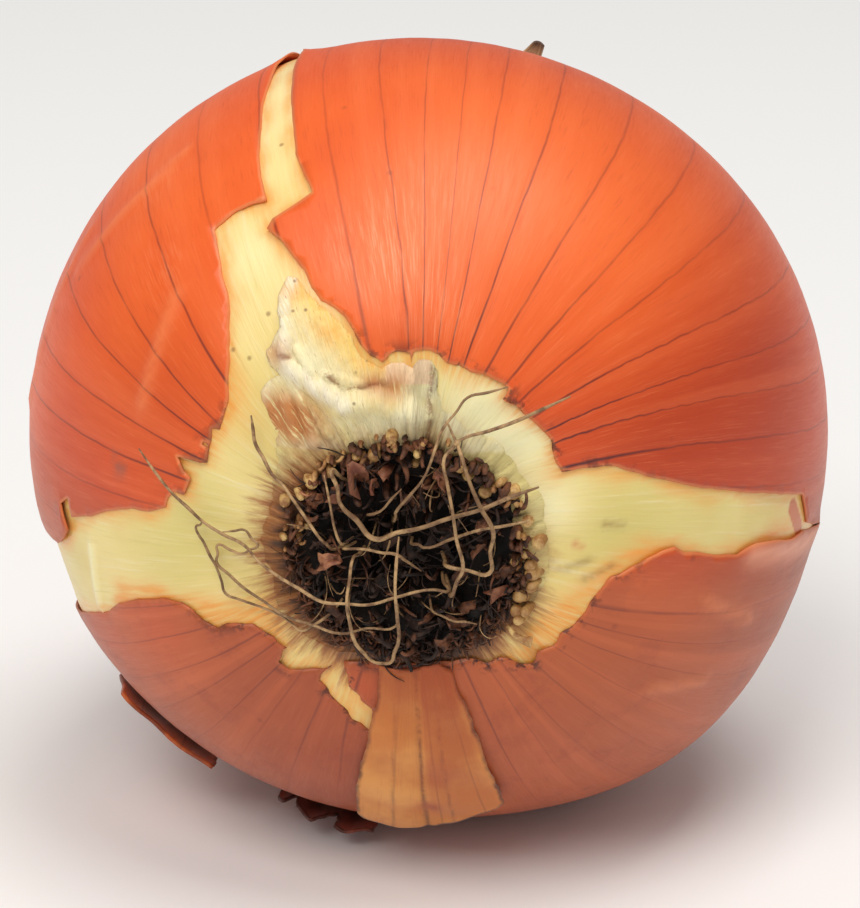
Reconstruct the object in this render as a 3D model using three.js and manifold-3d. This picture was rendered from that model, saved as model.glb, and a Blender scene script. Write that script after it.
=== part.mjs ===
// A brown onion lying on its side: millimetres, +Z up, root end towards -Y, neck towards +Y.
// The origin is the middle of the small flat spot that it rests on.
// Every layer is drawn on one grown form. A point of it is named by its polar angle from the root pole,
// its bearing (clockwise from straight up, seen from the root end) and its lift off the pale flesh.

import * as THREE from 'three';
import { mergeVertices } from 'three/addons/utils/BufferGeometryUtils.js';
import Module from 'manifold-3d';

const wasm = await Module();
wasm.setup();

// Driving dimensions

const BULB_RADIUS = 39.5;
const BULB_HALF_LENGTH = 36.5;
const HEIGHT_RATIO = 0.985;
const AXIS_HEIGHT = 39.0;
const ROOT_DIMPLE = { depth: 5.0, width: 0.38 };
const NECK_CONE = { length: 26.0, width: 0.21 };
const SHOULDER = { bearing: 140, width: 23, swell: 0.05 };
const FLAT_SIDE = { bearing: 30, width: 40, swell: -0.02 };
const NECK_BEND = { startsAt: 30, rise: 0.02, sideways: 0.004 };

const GAP = 0.3;
const SKIN_THICKNESS = 0.6;
const SKIN_TOP = GAP + SKIN_THICKNESS;
const OLD_SKIN_THICKNESS = 0.7;

const BULB_COLUMNS = 36;
const BULB_NECK_END = Math.PI - 0.24;
const SKIN_COLUMNS = 48;
const SKIN_ROOT_END = 0.2;
const SKIN_NECK_END = Math.PI - 0.127;

const PLATE_RADIUS = 9.6;
const PLATE_COLUMNS = 24;
const KNOB_COUNT = 16;
const STUB_COUNT = 44;
const STUB_RADIUS = 0.55;
const THREAD_RADIUS = 0.4;

// Torn edges of the outer skin, as points [across, up] in millimetres along the bulb from its root pole.
// Together they run once round the opening, clockwise from the tip of the top tear.

const TOP_TEAR_RIGHT_EDGE = [
  [-27.5, 73.5], [-21.0, 63.0], [-19.5, 57.0], [-17.2, 50.0], [-15.0, 44.2], [-13.8, 40.7],
  [-12.1, 37.7], [-10.7, 35.6], [-13.2, 33.6], [-15.0, 31.4], [-11.9, 28.6], [-9.5, 25.5],
];
const UPPER_RIGHT_EDGE = [
  [-7.1, 23.7], [-5.0, 21.5], [-3.4, 19.1], [-2.3, 18.6], [-1.0, 19.6], [0.4, 18.6], [2.1, 19.5],
  [4.3, 18.4], [6.9, 17.3], [9.3, 16.1], [8.8, 15.2], [11.2, 13.7], [13.1, 11.1], [14.4, 8.0],
];
const RIGHT_GAP_TOP_EDGE = [
  [17.3, 8.4], [19.5, 8.2], [23.2, 7.0], [29.4, 4.8], [34.6, 3.2], [40.2, 1.4], [45.9, -0.8],
  [46.2, -2.8], [44.6, -5.5],
];
const LOWER_RIGHT_EDGE = [
  [39.4, -3.8], [35.1, -3.4], [31.5, -3.0], [27.1, -1.5], [24.4, -0.7], [20.9, -2.3], [18.3, -4.1],
  [16.9, -6.4], [14.6, -8.7], [12.2, -10.1], [11.6, -11.2], [8.7, -10.9], [4.7, -10.9], [-0.7, -11.9],
  [-5.9, -11.9],
];
const UNDER_WEDGE_EDGE = [
  [-5.5, -14.5], [-3.3, -16.9], [-2.7, -18.9], [-3.9, -19.7], [-6.6, -16.8], [-8.6, -14.1], [-7.2, -12.3],
];
const LOWER_LEFT_EDGE = [
  [-11.1, -12.7], [-12.0, -12.1], [-11.2, -10.4], [-14.7, -8.2], [-18.4, -9.3], [-21.1, -7.8],
  [-24.5, -7.5], [-28.2, -9.0], [-33.5, -13.0], [-38.8, -16.5], [-46.0, -22.0], [-53.0, -27.5],
];
const LEFT_GAP_FAR_END = [
  [-61.0, -33.0], [-70.0, -30.0], [-64.0, -20.0], [-52.0, -11.0],
];
const LEFT_GAP_TOP_EDGE = [
  [-43.0, -8.5], [-38.6, -4.4], [-39.9, -1.6], [-38.5, -0.5], [-37.8, -2.5], [-34.2, -1.2],
  [-28.0, 1.5], [-23.6, 2.6], [-22.6, 4.7], [-20.8, 6.2], [-22.2, 8.1],
];
const UPPER_LEFT_EDGE = [
  [-19.2, 8.1], [-19.8, 10.0], [-17.8, 11.2], [-17.1, 14.2], [-17.4, 20.6], [-19.3, 26.4],
  [-21.5, 31.3], [-19.1, 33.5], [-15.8, 34.6], [-18.6, 40.9], [-21.2, 49.3], [-23.8, 59.0],
];
const OPENING_OUTLINE = [
  ...TOP_TEAR_RIGHT_EDGE,
  ...UPPER_RIGHT_EDGE,
  ...RIGHT_GAP_TOP_EDGE,
  ...LOWER_RIGHT_EDGE,
  ...UNDER_WEDGE_EDGE,
  ...LOWER_LEFT_EDGE,
  ...LEFT_GAP_FAR_END,
  ...LEFT_GAP_TOP_EDGE,
  ...UPPER_LEFT_EDGE,
];

// Outer edge of the torn inner scale, as [bearing in degrees, distance from the root pole].

const TORN_SCALE_INNER_EDGE = 10.0;
const TORN_SCALE_EDGE = [
  [-26, 28.0], [-22, 26.4], [-19, 24.2], [-15, 22.2], [-12, 19.4], [-8, 17.6], [0, 17.3], [7, 17.8],
  [11, 16.8], [14, 14.2], [24, 13.4], [38, 13.9], [52, 13.2], [68, 13.8], [84, 13.0], [100, 13.6],
  [116, 12.7], [132, 12.3], [146, 11.7], [160, 11.3], [176, 11.2], [190, 11.4], [202, 12.0],
  [212, 12.6], [224, 13.4], [240, 13.9], [256, 13.2], [272, 14.0], [288, 13.3], [304, 14.6],
  [314, 15.2], [319.5, 17.4], [318, 20.5], [322, 20.8], [325, 20.3],
  [325.5, 23.4], [330.5, 24.4], [331.5, 26.2],
];

// Root threads, each as points [across, up, lift], the last ones among the short roots.

const ROOT_THREADS = [
  [[-14.4, 13.1, 1.8], [-13.8, 10.6, 2.0], [-12.1, 7.9, 2.6], [-10.3, 6.0, 3.5], [-8.0, 2.1, 4.0],
    [-7.0, 0.6, 3.0]],
  [[1.6, -1.6, 3.0], [-1.1, 0.8, 4.5], [-3.6, 1.0, 4.0], [-6.0, 0.6, 3.0]],
  [[-0.2, 7.7, 4.5], [-2.2, 5.6, 4.5], [-3.5, 4.5, 3.5]],
  [[-25.4, 8.6, 2.6], [-22.0, 4.9, 2.2], [-18.9, 2.4, 1.8], [-15.1, 0.4, 2.0], [-12.1, -1.9, 3.0],
    [-7.9, -4.1, 4.6], [-3.6, -4.4, 5.2], [1.9, -3.0, 4.6], [4.1, -3.1, 4.0]],
  [[-18.9, 2.4, 1.8], [-19.9, 1.6, 1.4], [-19.3, 0.0, 1.2], [-18.0, -2.2, 1.4], [-17.0, -5.0, 1.3],
    [-14.6, -5.8, 1.5], [-11.9, -6.3, 2.2], [-9.9, -8.0, 2.3], [-7.6, -6.6, 2.4]],
  [[-17.1, 1.6, 1.8], [-15.0, 1.8, 1.6], [-13.8, 0.4, 1.8], [-15.2, -0.6, 1.7], [-17.7, 0.0, 1.3],
    [-18.0, -1.9, 1.3], [-15.3, -3.9, 1.7], [-11.3, -6.2, 2.6], [-6.2, -7.8, 3.2], [-1.1, -7.3, 3.0]],
  [[-0.6, 3.0, 5.0], [-0.9, -2.6, 6.0], [-0.6, -8.4, 4.5], [-1.2, -10.4, 4.0], [-3.0, -10.6, 3.7],
    [-4.8, -8.4, 4.6], [-5.7, -3.9, 5.5], [-5.0, 0.0, 4.0]],
  [[9.2, 16.6, 2.4], [5.5, 15.6, 2.2], [3.5, 12.9, 3.0], [1.9, 9.1, 4.4], [-0.9, 5.1, 3.8],
    [-1.1, 3.6, 3.0]],
  [[14.7, 15.5, 3.0], [10.1, 13.3, 2.2], [5.1, 12.0, 3.0], [3.6, 10.6, 4.4], [4.8, 6.3, 6.0],
    [5.8, 0.1, 5.6], [4.5, -3.4, 4.4]],
  [[3.9, 13.2, 2.4], [6.0, 8.8, 4.6], [8.5, 3.9, 5.2], [8.2, -0.8, 4.6], [4.1, -0.5, 4.0]],
  [[12.1, 7.3, 2.6], [7.2, 5.8, 4.6], [1.5, 3.7, 4.6], [-3.1, 2.2, 4.0], [-6.1, 5.6, 3.6],
    [-6.8, 8.4, 2.6]],
  [[11.6, 4.0, 2.6], [7.2, 3.6, 4.2], [1.8, 1.3, 3.6], [0.6, 1.2, 3.0]],
  [[-7.4, 8.2, 2.6], [-7.0, 5.0, 3.5], [-6.3, 1.2, 3.2]],
  [[6.8, -7.0, 2.4], [4.5, -6.5, 2.8], [2.6, -6.0, 2.2]],
];

// Old outermost skin: a wide strip over the front, a remnant at the lower left and a scrap under the bulb.
// Each is two edges of points [across, up], the second one to the left of the way along them seen from
// outside, with the lifts of its underside along the first edge. The second edge curls up from there.

const FRONT_STRIP = {
  firstEdge: [[4.9, -12.0], [6.2, -17.0], [7.4, -22.0], [8.6, -28.0], [9.4, -31.0], [8.6, -33.6]],
  secondEdge: [[-2.5, -12.2], [-3.1, -17.0], [-4.2, -22.0], [-5.2, -28.0], [-5.9, -34.0], [-5.0, -38.2]],
  lifts: [1.3, 1.6, 2.2, 2.8, 3.3, 3.5],
  columns: 8,
  ribHeight: 0.5,
  curl: 0,
};
const LEFT_REMNANT = {
  firstEdge: [[-30.0, -47.0], [-36.0, -46.0], [-41.0, -41.5], [-45.0, -37.0], [-47.0, -31.5]],
  secondEdge: [[-24.6, -39.4], [-29.6, -37.8], [-33.4, -34.4], [-36.8, -30.6], [-40.0, -26.0]],
  lifts: [1.3, 1.5, 1.5, 1.5, 1.3],
  columns: 3,
  ribHeight: 0,
  curl: 0.4,
};
const UNDER_SCRAP = {
  firstEdge: [[-6.4, -50.0], [-9.5, -50.3], [-12.6, -49.4], [-15.6, -48.6], [-18.6, -47.4]],
  secondEdge: [[-6.4, -44.4], [-8.8, -41.0], [-12.0, -44.8], [-14.6, -41.5], [-17.4, -43.4]],
  lifts: [1.3, 1.3, 1.3, 1.3, 1.3],
  columns: 3,
  ribHeight: 0,
  curl: 1.3,
};

// Dry leaf ends at the neck, each as a centre line [x, y, z] with its half widths.

const NECK_STUB = { from: 47.0, to: 53.0, radius: 3.6 };
const NECK_LEAVES = [
  {
    line: [[1.8, 50.0, 47.4], [2.8, 55.5, 52.6], [5.2, 57.6, 59.4], [9.2, 52.4, 67.0]],
    widths: [2.0, 2.6, 2.8, 0.7],
  },
  { line: [[3.0, 50.0, 46.8], [5.0, 56.0, 50.8], [8.8, 60.5, 52.8]], widths: [1.9, 2.3, 0.7] },
  { line: [[1.8, 50.0, 45.2], [2.0, 56.0, 48.6], [0.6, 61.5, 50.6]], widths: [2.0, 2.4, 0.7] },
  { line: [[0.8, 50.0, 46.8], [-1.2, 56.0, 51.8], [-3.4, 59.0, 55.6]], widths: [1.9, 2.2, 0.7] },
];
const NECK_LEAF_THICKNESS = 0.8;

// Colours of the photographed onion

const SKIN_COLOUR = 0xd9683a;
const FLESH_COLOUR = 0xe6d8a0;
const SCALE_COLOUR = 0xe8cf98;
const OLD_SKIN_COLOUR = 0xa8622f;
const ROOT_COLOUR = 0x4a3527;
const NECK_COLOUR = 0xb08a60;

// The grown form

function radians(degrees) {
  return THREE.MathUtils.degToRad(degrees);
}

function bell(distance, width) {
  return Math.exp(-((distance / width) ** 2));
}

function swellAt(bearing, lump) {
  const turn = bearing - radians(lump.bearing);
  const away = Math.atan2(Math.sin(turn), Math.cos(turn));
  return lump.swell * bell(away, radians(lump.width));
}

function grownPoint(polar, bearing) {
  const swell = swellAt(bearing, SHOULDER) + swellAt(bearing, FLAT_SIDE);
  const radius = BULB_RADIUS * Math.sin(polar) * (1 + swell * Math.sin(polar) ** 2);
  const dimple = ROOT_DIMPLE.depth * bell(polar, ROOT_DIMPLE.width);
  const neck = NECK_CONE.length * bell(Math.PI - polar, NECK_CONE.width);
  return new THREE.Vector3(
    radius * Math.sin(bearing),
    -BULB_HALF_LENGTH * Math.cos(polar) + dimple + neck,
    AXIS_HEIGHT + HEIGHT_RATIO * radius * Math.cos(bearing),
  );
}

function outwardAt(polar, bearing) {
  const step = 1e-4;
  const alongPolar = grownPoint(polar + step, bearing).sub(grownPoint(polar - step, bearing));
  const alongBearing = grownPoint(polar, bearing + step).sub(grownPoint(polar, bearing - step));
  return alongBearing.cross(alongPolar).normalize();
}

function bendNeck(point) {
  const past = Math.max(0, point.y - NECK_BEND.startsAt);
  point.z += NECK_BEND.rise * past ** 2;
  point.x += NECK_BEND.sideways * past ** 2;
  return point;
}

function flattenUnder(point, lift) {
  point.z = Math.max(point.z, SKIN_TOP - lift, 0);
  return point;
}

function layerPoint(polar, bearing, lift) {
  const point = grownPoint(polar, bearing).addScaledVector(outwardAt(polar, bearing), lift);
  return flattenUnder(bendNeck(point), lift);
}

function mapPoint([across, up], lift) {
  const polar = Math.max(Math.hypot(across, up) / BULB_RADIUS, 1e-3);
  return layerPoint(polar, Math.atan2(across, up), lift);
}

// Meshes and solids

function meshGeometry(points, triangles) {
  const geometry = new THREE.BufferGeometry();
  geometry.setAttribute('position', new THREE.Float32BufferAttribute(points.flatMap((p) => p.toArray()), 3));
  geometry.setIndex(triangles);
  return geometry;
}

function quad(a, b, c, d) {
  return [a, b, c, b, d, c];
}

// Rings of points around the onion's axis: joined end to end, or closed with a point at each end.
function ringGeometry(rings, rootPoint, neckPoint) {
  const columns = rings[0].length;
  const at = (ring, column) => (ring % rings.length) * columns + (column % columns);
  const points = rings.flat();
  const triangles = [];
  const spans = rootPoint ? rings.length - 1 : rings.length;
  for (let ring = 0; ring < spans; ring++) {
    for (let column = 0; column < columns; column++) {
      const next = column + 1;
      triangles.push(...quad(at(ring, column), at(ring, next), at(ring + 1, column), at(ring + 1, next)));
    }
  }
  if (rootPoint) {
    const rootIndex = points.push(rootPoint) - 1;
    const neckIndex = points.push(neckPoint) - 1;
    const last = rings.length - 1;
    for (let column = 0; column < columns; column++) {
      triangles.push(rootIndex, at(0, column + 1), at(0, column));
      triangles.push(neckIndex, at(last, column), at(last, column + 1));
    }
  }
  return meshGeometry(points, triangles);
}

// A sheet with a top and an underside, each a grid of rows of points, and walls round its four edges.
function slabGeometry(top, underside) {
  const lastRow = top.length - 1;
  const lastColumn = top[0].length - 1;
  const sheetSize = top.length * top[0].length;
  const above = (row, column) => row * top[0].length + column;
  const below = (row, column) => sheetSize + above(row, column);
  const triangles = [];
  for (let row = 0; row < lastRow; row++) {
    const next = row + 1;
    for (let column = 0; column < lastColumn; column++) {
      const side = column + 1;
      triangles.push(...quad(above(row, column), above(row, side), above(next, column), above(next, side)));
      triangles.push(...quad(below(row, column), below(next, column), below(row, side), below(next, side)));
    }
    triangles.push(...quad(below(row, 0), above(row, 0), below(next, 0), above(next, 0)));
    triangles.push(...quad(
      above(row, lastColumn), below(row, lastColumn), above(next, lastColumn), below(next, lastColumn),
    ));
  }
  for (let column = 0; column < lastColumn; column++) {
    const side = column + 1;
    triangles.push(...quad(below(0, column), below(0, side), above(0, column), above(0, side)));
    triangles.push(...quad(
      above(lastRow, column), above(lastRow, side), below(lastRow, column), below(lastRow, side),
    ));
  }
  return meshGeometry([...top.flat(), ...underside.flat()], triangles);
}

function solidFrom(geometry) {
  const bare = geometry.clone();
  bare.deleteAttribute('normal');
  bare.deleteAttribute('uv');
  const merged = mergeVertices(bare, 1e-3);
  return new wasm.Manifold(new wasm.Mesh({
    numProp: 3,
    vertProperties: merged.getAttribute('position').array,
    triVerts: new Uint32Array(merged.index.array),
  }));
}

function geometryFrom(solid) {
  const mesh = solid.getMesh();
  const geometry = new THREE.BufferGeometry();
  geometry.setAttribute('position', new THREE.BufferAttribute(mesh.vertProperties, 3));
  geometry.setIndex(new THREE.BufferAttribute(mesh.triVerts, 1));
  geometry.computeVertexNormals();
  return geometry;
}

function joined(solids) {
  return solids.reduce((whole, piece) => whole.add(piece));
}

// The largest body of a join: sealed hollows are filled and loose crumbs dropped.
function mainBody(solid) {
  const bodies = solid.decompose();
  return bodies.reduce((largest, body) => (body.volume() > largest.volume() ? body : largest));
}

function pieceMesh(name, geometry, colour, roughness) {
  const material = new THREE.MeshStandardMaterial({ color: colour, roughness, metalness: 0 });
  const mesh = new THREE.Mesh(geometry, material);
  mesh.name = name;
  return mesh;
}

function seededRandom(seed) {
  let state = seed;
  return () => {
    state = (state * 1664525 + 1013904223) % 4294967296;
    return state / 4294967296;
  };
}

// Rings spaced evenly along the skin, closer where the form turns sharply at the dimple and the neck.
function polarSteps(start, end, spacing) {
  const steps = [start];
  let polar = start;
  while (polar < end) {
    const nearNeck = bell(Math.PI - 0.2 - polar, 0.28);
    const nearRoot = bell(polar, 0.35);
    const here = grownPoint(polar, 0);
    const ahead = grownPoint(polar + 0.01, 0);
    const millimetresPerRadian = here.distanceTo(ahead) / 0.01;
    polar += (spacing * (1 - 0.45 * nearNeck - 0.35 * nearRoot)) / millimetresPerRadian;
    steps.push(Math.min(polar, end));
  }
  return steps;
}

function bearings(columns) {
  return Array.from({ length: columns }, (_, column) => (2 * Math.PI * column) / columns);
}

function layerRing(polar, columns, lift) {
  return bearings(columns).map((bearing) => layerPoint(polar, bearing, lift));
}

// Pale fleshy bulb

// The flesh draws in a little under the neck, clear of the skin.
function fleshLift(polar) {
  return -0.12 - 0.7 * bell(Math.PI - 0.3 - polar, 0.2);
}

function bulbGeometry() {
  const steps = polarSteps(0.09, BULB_NECK_END, 6.0);
  const rings = steps.map((polar) => layerRing(polar, BULB_COLUMNS, fleshLift(polar)));
  const rootPole = grownPoint(0, 0);
  const neckRing = rings[rings.length - 1];
  const neckPole = neckRing.reduce((sum, p) => sum.add(p), new THREE.Vector3()).divideScalar(BULB_COLUMNS);
  return ringGeometry(rings, rootPole, neckPole);
}

// Papery outer skin

function openingCutter() {
  const centre = new THREE.Vector3(0, 0, AXIS_HEIGHT);
  const outline = OPENING_OUTLINE.map(([across, up]) => new THREE.Vector2(across, up));
  const onSkin = OPENING_OUTLINE.map((point) => mapPoint(point, SKIN_TOP));
  const scaled = (factor) => onSkin.map((p) => p.clone().sub(centre).multiplyScalar(factor).add(centre));
  const points = [...scaled(0.3), ...scaled(3)];
  const count = outline.length;
  const triangles = [];
  for (const [a, b, c] of THREE.ShapeUtils.triangulateShape(outline, [])) {
    triangles.push(c, b, a);
    triangles.push(a + count, b + count, c + count);
  }
  for (let i = 0; i < count; i++) {
    const next = (i + 1) % count;
    triangles.push(...quad(next, i, next + count, i + count));
  }
  return solidFrom(meshGeometry(points, triangles));
}

function raggedNeckRing(lift) {
  return bearings(SKIN_COLUMNS).map((bearing, column) => {
    const wave = Math.sin(column * 1.9) + 0.6 * Math.sin(column * 4.3 + 1);
    return layerPoint(SKIN_NECK_END - 0.012 * (1 + wave), bearing, lift);
  });
}

function outerSkinGeometry() {
  const steps = polarSteps(SKIN_ROOT_END, SKIN_NECK_END, 6.2).slice(0, -1);
  const rings = (lift) => steps.map((polar) => layerRing(polar, SKIN_COLUMNS, lift));
  const outside = [...rings(SKIN_TOP), raggedNeckRing(SKIN_TOP)];
  const inside = [...rings(GAP), raggedNeckRing(GAP)].reverse();
  const whole = solidFrom(ringGeometry([...outside, ...inside]));
  return geometryFrom(mainBody(whole.subtract(openingCutter())));
}

// Torn inner scale around the root plate

function tornScaleGeometry() {
  const fractions = [0, 0.33, 0.66, 1];
  const surface = (lift) => fractions.map((fraction) => TORN_SCALE_EDGE.map(([bearing, reach]) => {
    const distance = THREE.MathUtils.lerp(TORN_SCALE_INNER_EDGE, reach, fraction);
    return layerPoint(distance / BULB_RADIUS, radians(bearing), lift);
  }));
  return ringGeometry([...surface(SKIN_TOP), ...surface(GAP).reverse()]);
}

// Old skin sheets

function oldSkinGeometry({ firstEdge, secondEdge, lifts, columns, ribHeight, curl }) {
  const parts = Array.from({ length: columns + 1 }, (_, column) => column / columns);
  const surface = (extra) => firstEdge.map((first, row) => parts.map((part) => {
    const across = THREE.MathUtils.lerp(first[0], secondEdge[row][0], part);
    const up = THREE.MathUtils.lerp(first[1], secondEdge[row][1], part);
    const rib = ribHeight * Math.sin(2 * Math.PI * part) ** 2;
    return mapPoint([across, up], lifts[row] + curl * part ** 2 + rib + extra);
  }));
  return slabGeometry(surface(OLD_SKIN_THICKNESS), surface(0));
}

// Dry leaf ends at the neck

function neckStubSolid() {
  const rings = [NECK_STUB.from, 50.0, NECK_STUB.to].map((y) => bearings(12).map((bearing) => {
    const reach = y < NECK_STUB.to ? NECK_STUB.radius : NECK_STUB.radius * 0.7;
    return bendNeck(new THREE.Vector3(reach * Math.sin(bearing), y, AXIS_HEIGHT + reach * Math.cos(bearing)));
  }));
  const end = (y) => bendNeck(new THREE.Vector3(0, y, AXIS_HEIGHT));
  return solidFrom(ringGeometry(rings, end(NECK_STUB.from), end(NECK_STUB.to)));
}

function neckLeafSolid({ line, widths }) {
  const curve = new THREE.CatmullRomCurve3(line.map((p) => new THREE.Vector3(...p)));
  const widthCurve = new THREE.SplineCurve(widths.map((w, i) => new THREE.Vector2(i, w)));
  const rows = 7;
  const neckAxis = bendNeck(new THREE.Vector3(0, 50, AXIS_HEIGHT));
  const grid = (side) => Array.from({ length: rows }, (_, row) => {
    const along = row / (rows - 1);
    const centre = curve.getPoint(along);
    const tangent = curve.getTangent(along);
    const away = centre.clone().sub(neckAxis).projectOnPlane(tangent).normalize();
    const across = tangent.clone().cross(away).normalize();
    const half = widthCurve.getPoint(along).y;
    return [-1, -0.5, 0, 0.5, 1].map((part) => centre.clone()
      .addScaledVector(across, part * half)
      .addScaledVector(away, side * NECK_LEAF_THICKNESS / 2 - 0.35 * half * part ** 2));
  });
  return solidFrom(slabGeometry(grid(1), grid(-1)));
}

function neckLeavesGeometry() {
  return geometryFrom(mainBody(joined([neckStubSolid(), ...NECK_LEAVES.map(neckLeafSolid)])));
}

// Root plate, short roots and long threads

function plateSolid(random) {
  const distances = [2.4, 5.2, 7.8, PLATE_RADIUS];
  const ring = (distance, lift) => bearings(PLATE_COLUMNS).map((bearing) => (
    layerPoint(distance / BULB_RADIUS, bearing, lift())
  ));
  const top = distances.map((distance) => ring(distance, () => 1.3 + 0.9 * random()));
  const underside = distances.map((distance) => ring(distance, () => GAP)).reverse();
  return solidFrom(ringGeometry([...top, ...underside], layerPoint(1e-3, 0, 1.6), layerPoint(1e-3, 0, GAP)));
}

function tubeSolid(points, radius, sides, stepsPerMillimetre) {
  const curve = new THREE.CatmullRomCurve3(points);
  const corners = Array.from({ length: sides }, (_, i) => {
    const turn = (2 * Math.PI * i) / sides;
    return new THREE.Vector2(radius * Math.cos(turn), radius * Math.sin(turn));
  });
  const steps = Math.max(3, Math.round(curve.getLength() * stepsPerMillimetre));
  const settings = { steps, bevelEnabled: false, extrudePath: curve };
  return solidFrom(new THREE.ExtrudeGeometry(new THREE.Shape(corners), settings));
}

function threadSolid(route) {
  const [across, up] = route[route.length - 1];
  const rooted = [...route, [across * 0.8, up * 0.8, 0.9]];
  return tubeSolid(rooted.map(([u, v, lift]) => mapPoint([u, v], lift)), THREAD_RADIUS, 4, 0.38);
}

function stubSolid(random) {
  const bearing = 2 * Math.PI * random();
  const distance = 1.0 + 7.2 * Math.sqrt(random());
  const lean = bearing + 1.6 * (random() - 0.5);
  const length = 2.6 + 3.2 * random();
  const spread = Math.min(length * (0.15 + 0.5 * random()), 8.8 - distance);
  const at = (part, lift) => mapPoint([
    distance * Math.sin(bearing) + part * spread * Math.sin(lean),
    distance * Math.cos(bearing) + part * spread * Math.cos(lean),
  ], lift);
  return tubeSolid([at(0, 0.8), at(0.3, 0.8 + 0.5 * length), at(1, length)], STUB_RADIUS, 4, 0.5);
}

function knobSolid(index, random) {
  const bearing = (2 * Math.PI * (index + 0.6 * random())) / KNOB_COUNT;
  const centre = layerPoint((8.3 + 0.5 * random()) / BULB_RADIUS, bearing, 1.7 + 0.4 * random());
  const knob = new THREE.IcosahedronGeometry(0.85 + 0.2 * random(), 0);
  return solidFrom(knob.translate(centre.x, centre.y, centre.z));
}

function rootsGeometry() {
  const random = seededRandom(29);
  const plate = plateSolid(random);
  const knobs = Array.from({ length: KNOB_COUNT }, (_, index) => knobSolid(index, random));
  const stubs = Array.from({ length: STUB_COUNT }, () => stubSolid(random));
  const threads = ROOT_THREADS.map(threadSolid);
  return geometryFrom(mainBody(joined([plate, ...knobs, ...stubs, ...threads])));
}

// The onion

const onion = new THREE.Group();
onion.name = 'onion';
onion.add(
  pieceMesh('bulb', bulbGeometry(), FLESH_COLOUR, 0.45),
  pieceMesh('outer_skin', outerSkinGeometry(), SKIN_COLOUR, 0.4),
  pieceMesh('torn_scale', tornScaleGeometry(), SCALE_COLOUR, 0.6),
  pieceMesh('front_strip', oldSkinGeometry(FRONT_STRIP), OLD_SKIN_COLOUR, 0.6),
  pieceMesh('left_remnant', oldSkinGeometry(LEFT_REMNANT), OLD_SKIN_COLOUR, 0.6),
  pieceMesh('under_scrap', oldSkinGeometry(UNDER_SCRAP), OLD_SKIN_COLOUR, 0.7),
  pieceMesh('neck_leaves', neckLeavesGeometry(), NECK_COLOUR, 0.8),
  pieceMesh('roots', rootsGeometry(), ROOT_COLOUR, 0.9),
);

export default onion;
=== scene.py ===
# %% [markdown]
# This notebook dresses a brown onion that lies on its side, root end towards us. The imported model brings
# the plain solids in the real place and size. Each one is replaced here by a finer piece that keeps its form.

# %% Load the fixed frame
import math
import bpy
import numpy as np
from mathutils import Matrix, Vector
from mathutils.geometry import delaunay_2d_cdt


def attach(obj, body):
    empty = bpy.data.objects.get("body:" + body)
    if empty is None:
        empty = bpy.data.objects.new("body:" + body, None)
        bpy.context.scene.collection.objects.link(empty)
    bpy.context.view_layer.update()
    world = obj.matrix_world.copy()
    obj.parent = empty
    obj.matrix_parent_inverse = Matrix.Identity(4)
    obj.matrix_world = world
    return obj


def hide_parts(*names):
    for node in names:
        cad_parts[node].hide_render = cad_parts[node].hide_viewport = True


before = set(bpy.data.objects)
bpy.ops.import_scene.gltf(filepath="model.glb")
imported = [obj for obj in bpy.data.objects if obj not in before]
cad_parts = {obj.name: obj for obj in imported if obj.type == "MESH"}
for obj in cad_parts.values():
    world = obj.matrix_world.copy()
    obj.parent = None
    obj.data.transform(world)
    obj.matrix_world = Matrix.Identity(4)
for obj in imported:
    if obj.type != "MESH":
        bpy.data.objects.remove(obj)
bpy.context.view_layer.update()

bpy.ops.object.select_all(action="DESELECT")
print("solids:", sorted(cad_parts))

# %% [markdown]
# The camera looks at the root end from a little above, with a long lens, as one does for food pictures.
# It comes first, so that every later piece can be judged in the right view.

# %% Camera
MM = 0.001
CAMERA_AZIMUTH = math.radians(3.6)
CAMERA_ELEVATION = math.radians(20.3)
CAMERA_DISTANCE = 320 * MM
CAMERA_LENS = 125
CAMERA_AIM = Vector((0.11 * MM, -0.93 * MM, 36.48 * MM))

towards_camera = Vector((
    math.sin(CAMERA_AZIMUTH) * math.cos(CAMERA_ELEVATION),
    -math.cos(CAMERA_AZIMUTH) * math.cos(CAMERA_ELEVATION),
    math.sin(CAMERA_ELEVATION),
))
bpy.ops.object.camera_add(location=CAMERA_AIM + towards_camera * CAMERA_DISTANCE)
camera = bpy.context.object
camera.rotation_euler = towards_camera.to_track_quat("Z", "Y").to_euler()
camera.data.lens = CAMERA_LENS
camera.data.clip_start = 0.01
bpy.context.scene.camera = camera
print("camera at", [round(c, 3) for c in camera.location])

# %% [markdown]
# The light is soft and bright: a white surround, one large lamp in front like a window, one overhead, and a
# pale floor that throws light back on the underside, where it leaves the dull pink haze that waxy skin shows.

# %% Light and floor
SURROUND_STRENGTH = 0.36
SURROUND_COLOUR = (1.0, 0.975, 0.94, 1)
LAMP_COLOUR = (1.0, 0.95, 0.88)
LAMP_AIM = Vector((0, 0, 39 * MM))
LAMPS = [
    ("window_lamp", (-0.35, -0.85, 1.25), 0.8, 11.5),
    ("overhead_lamp", (0.26, -0.10, 1.45), 0.7, 9),
]
FLOOR_SIZE = 4.0
FLOOR_COLOUR = (0.90, 0.92, 0.95, 1)
FLOOR_ROUGHNESS = 0.9

scene = bpy.context.scene
scene.view_settings.view_transform = "Standard"
scene.world = bpy.data.worlds.new("soft_surround")
scene.world.use_nodes = True
surround = scene.world.node_tree.nodes["Background"]
surround.inputs["Color"].default_value = SURROUND_COLOUR
surround.inputs["Strength"].default_value = SURROUND_STRENGTH

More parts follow.
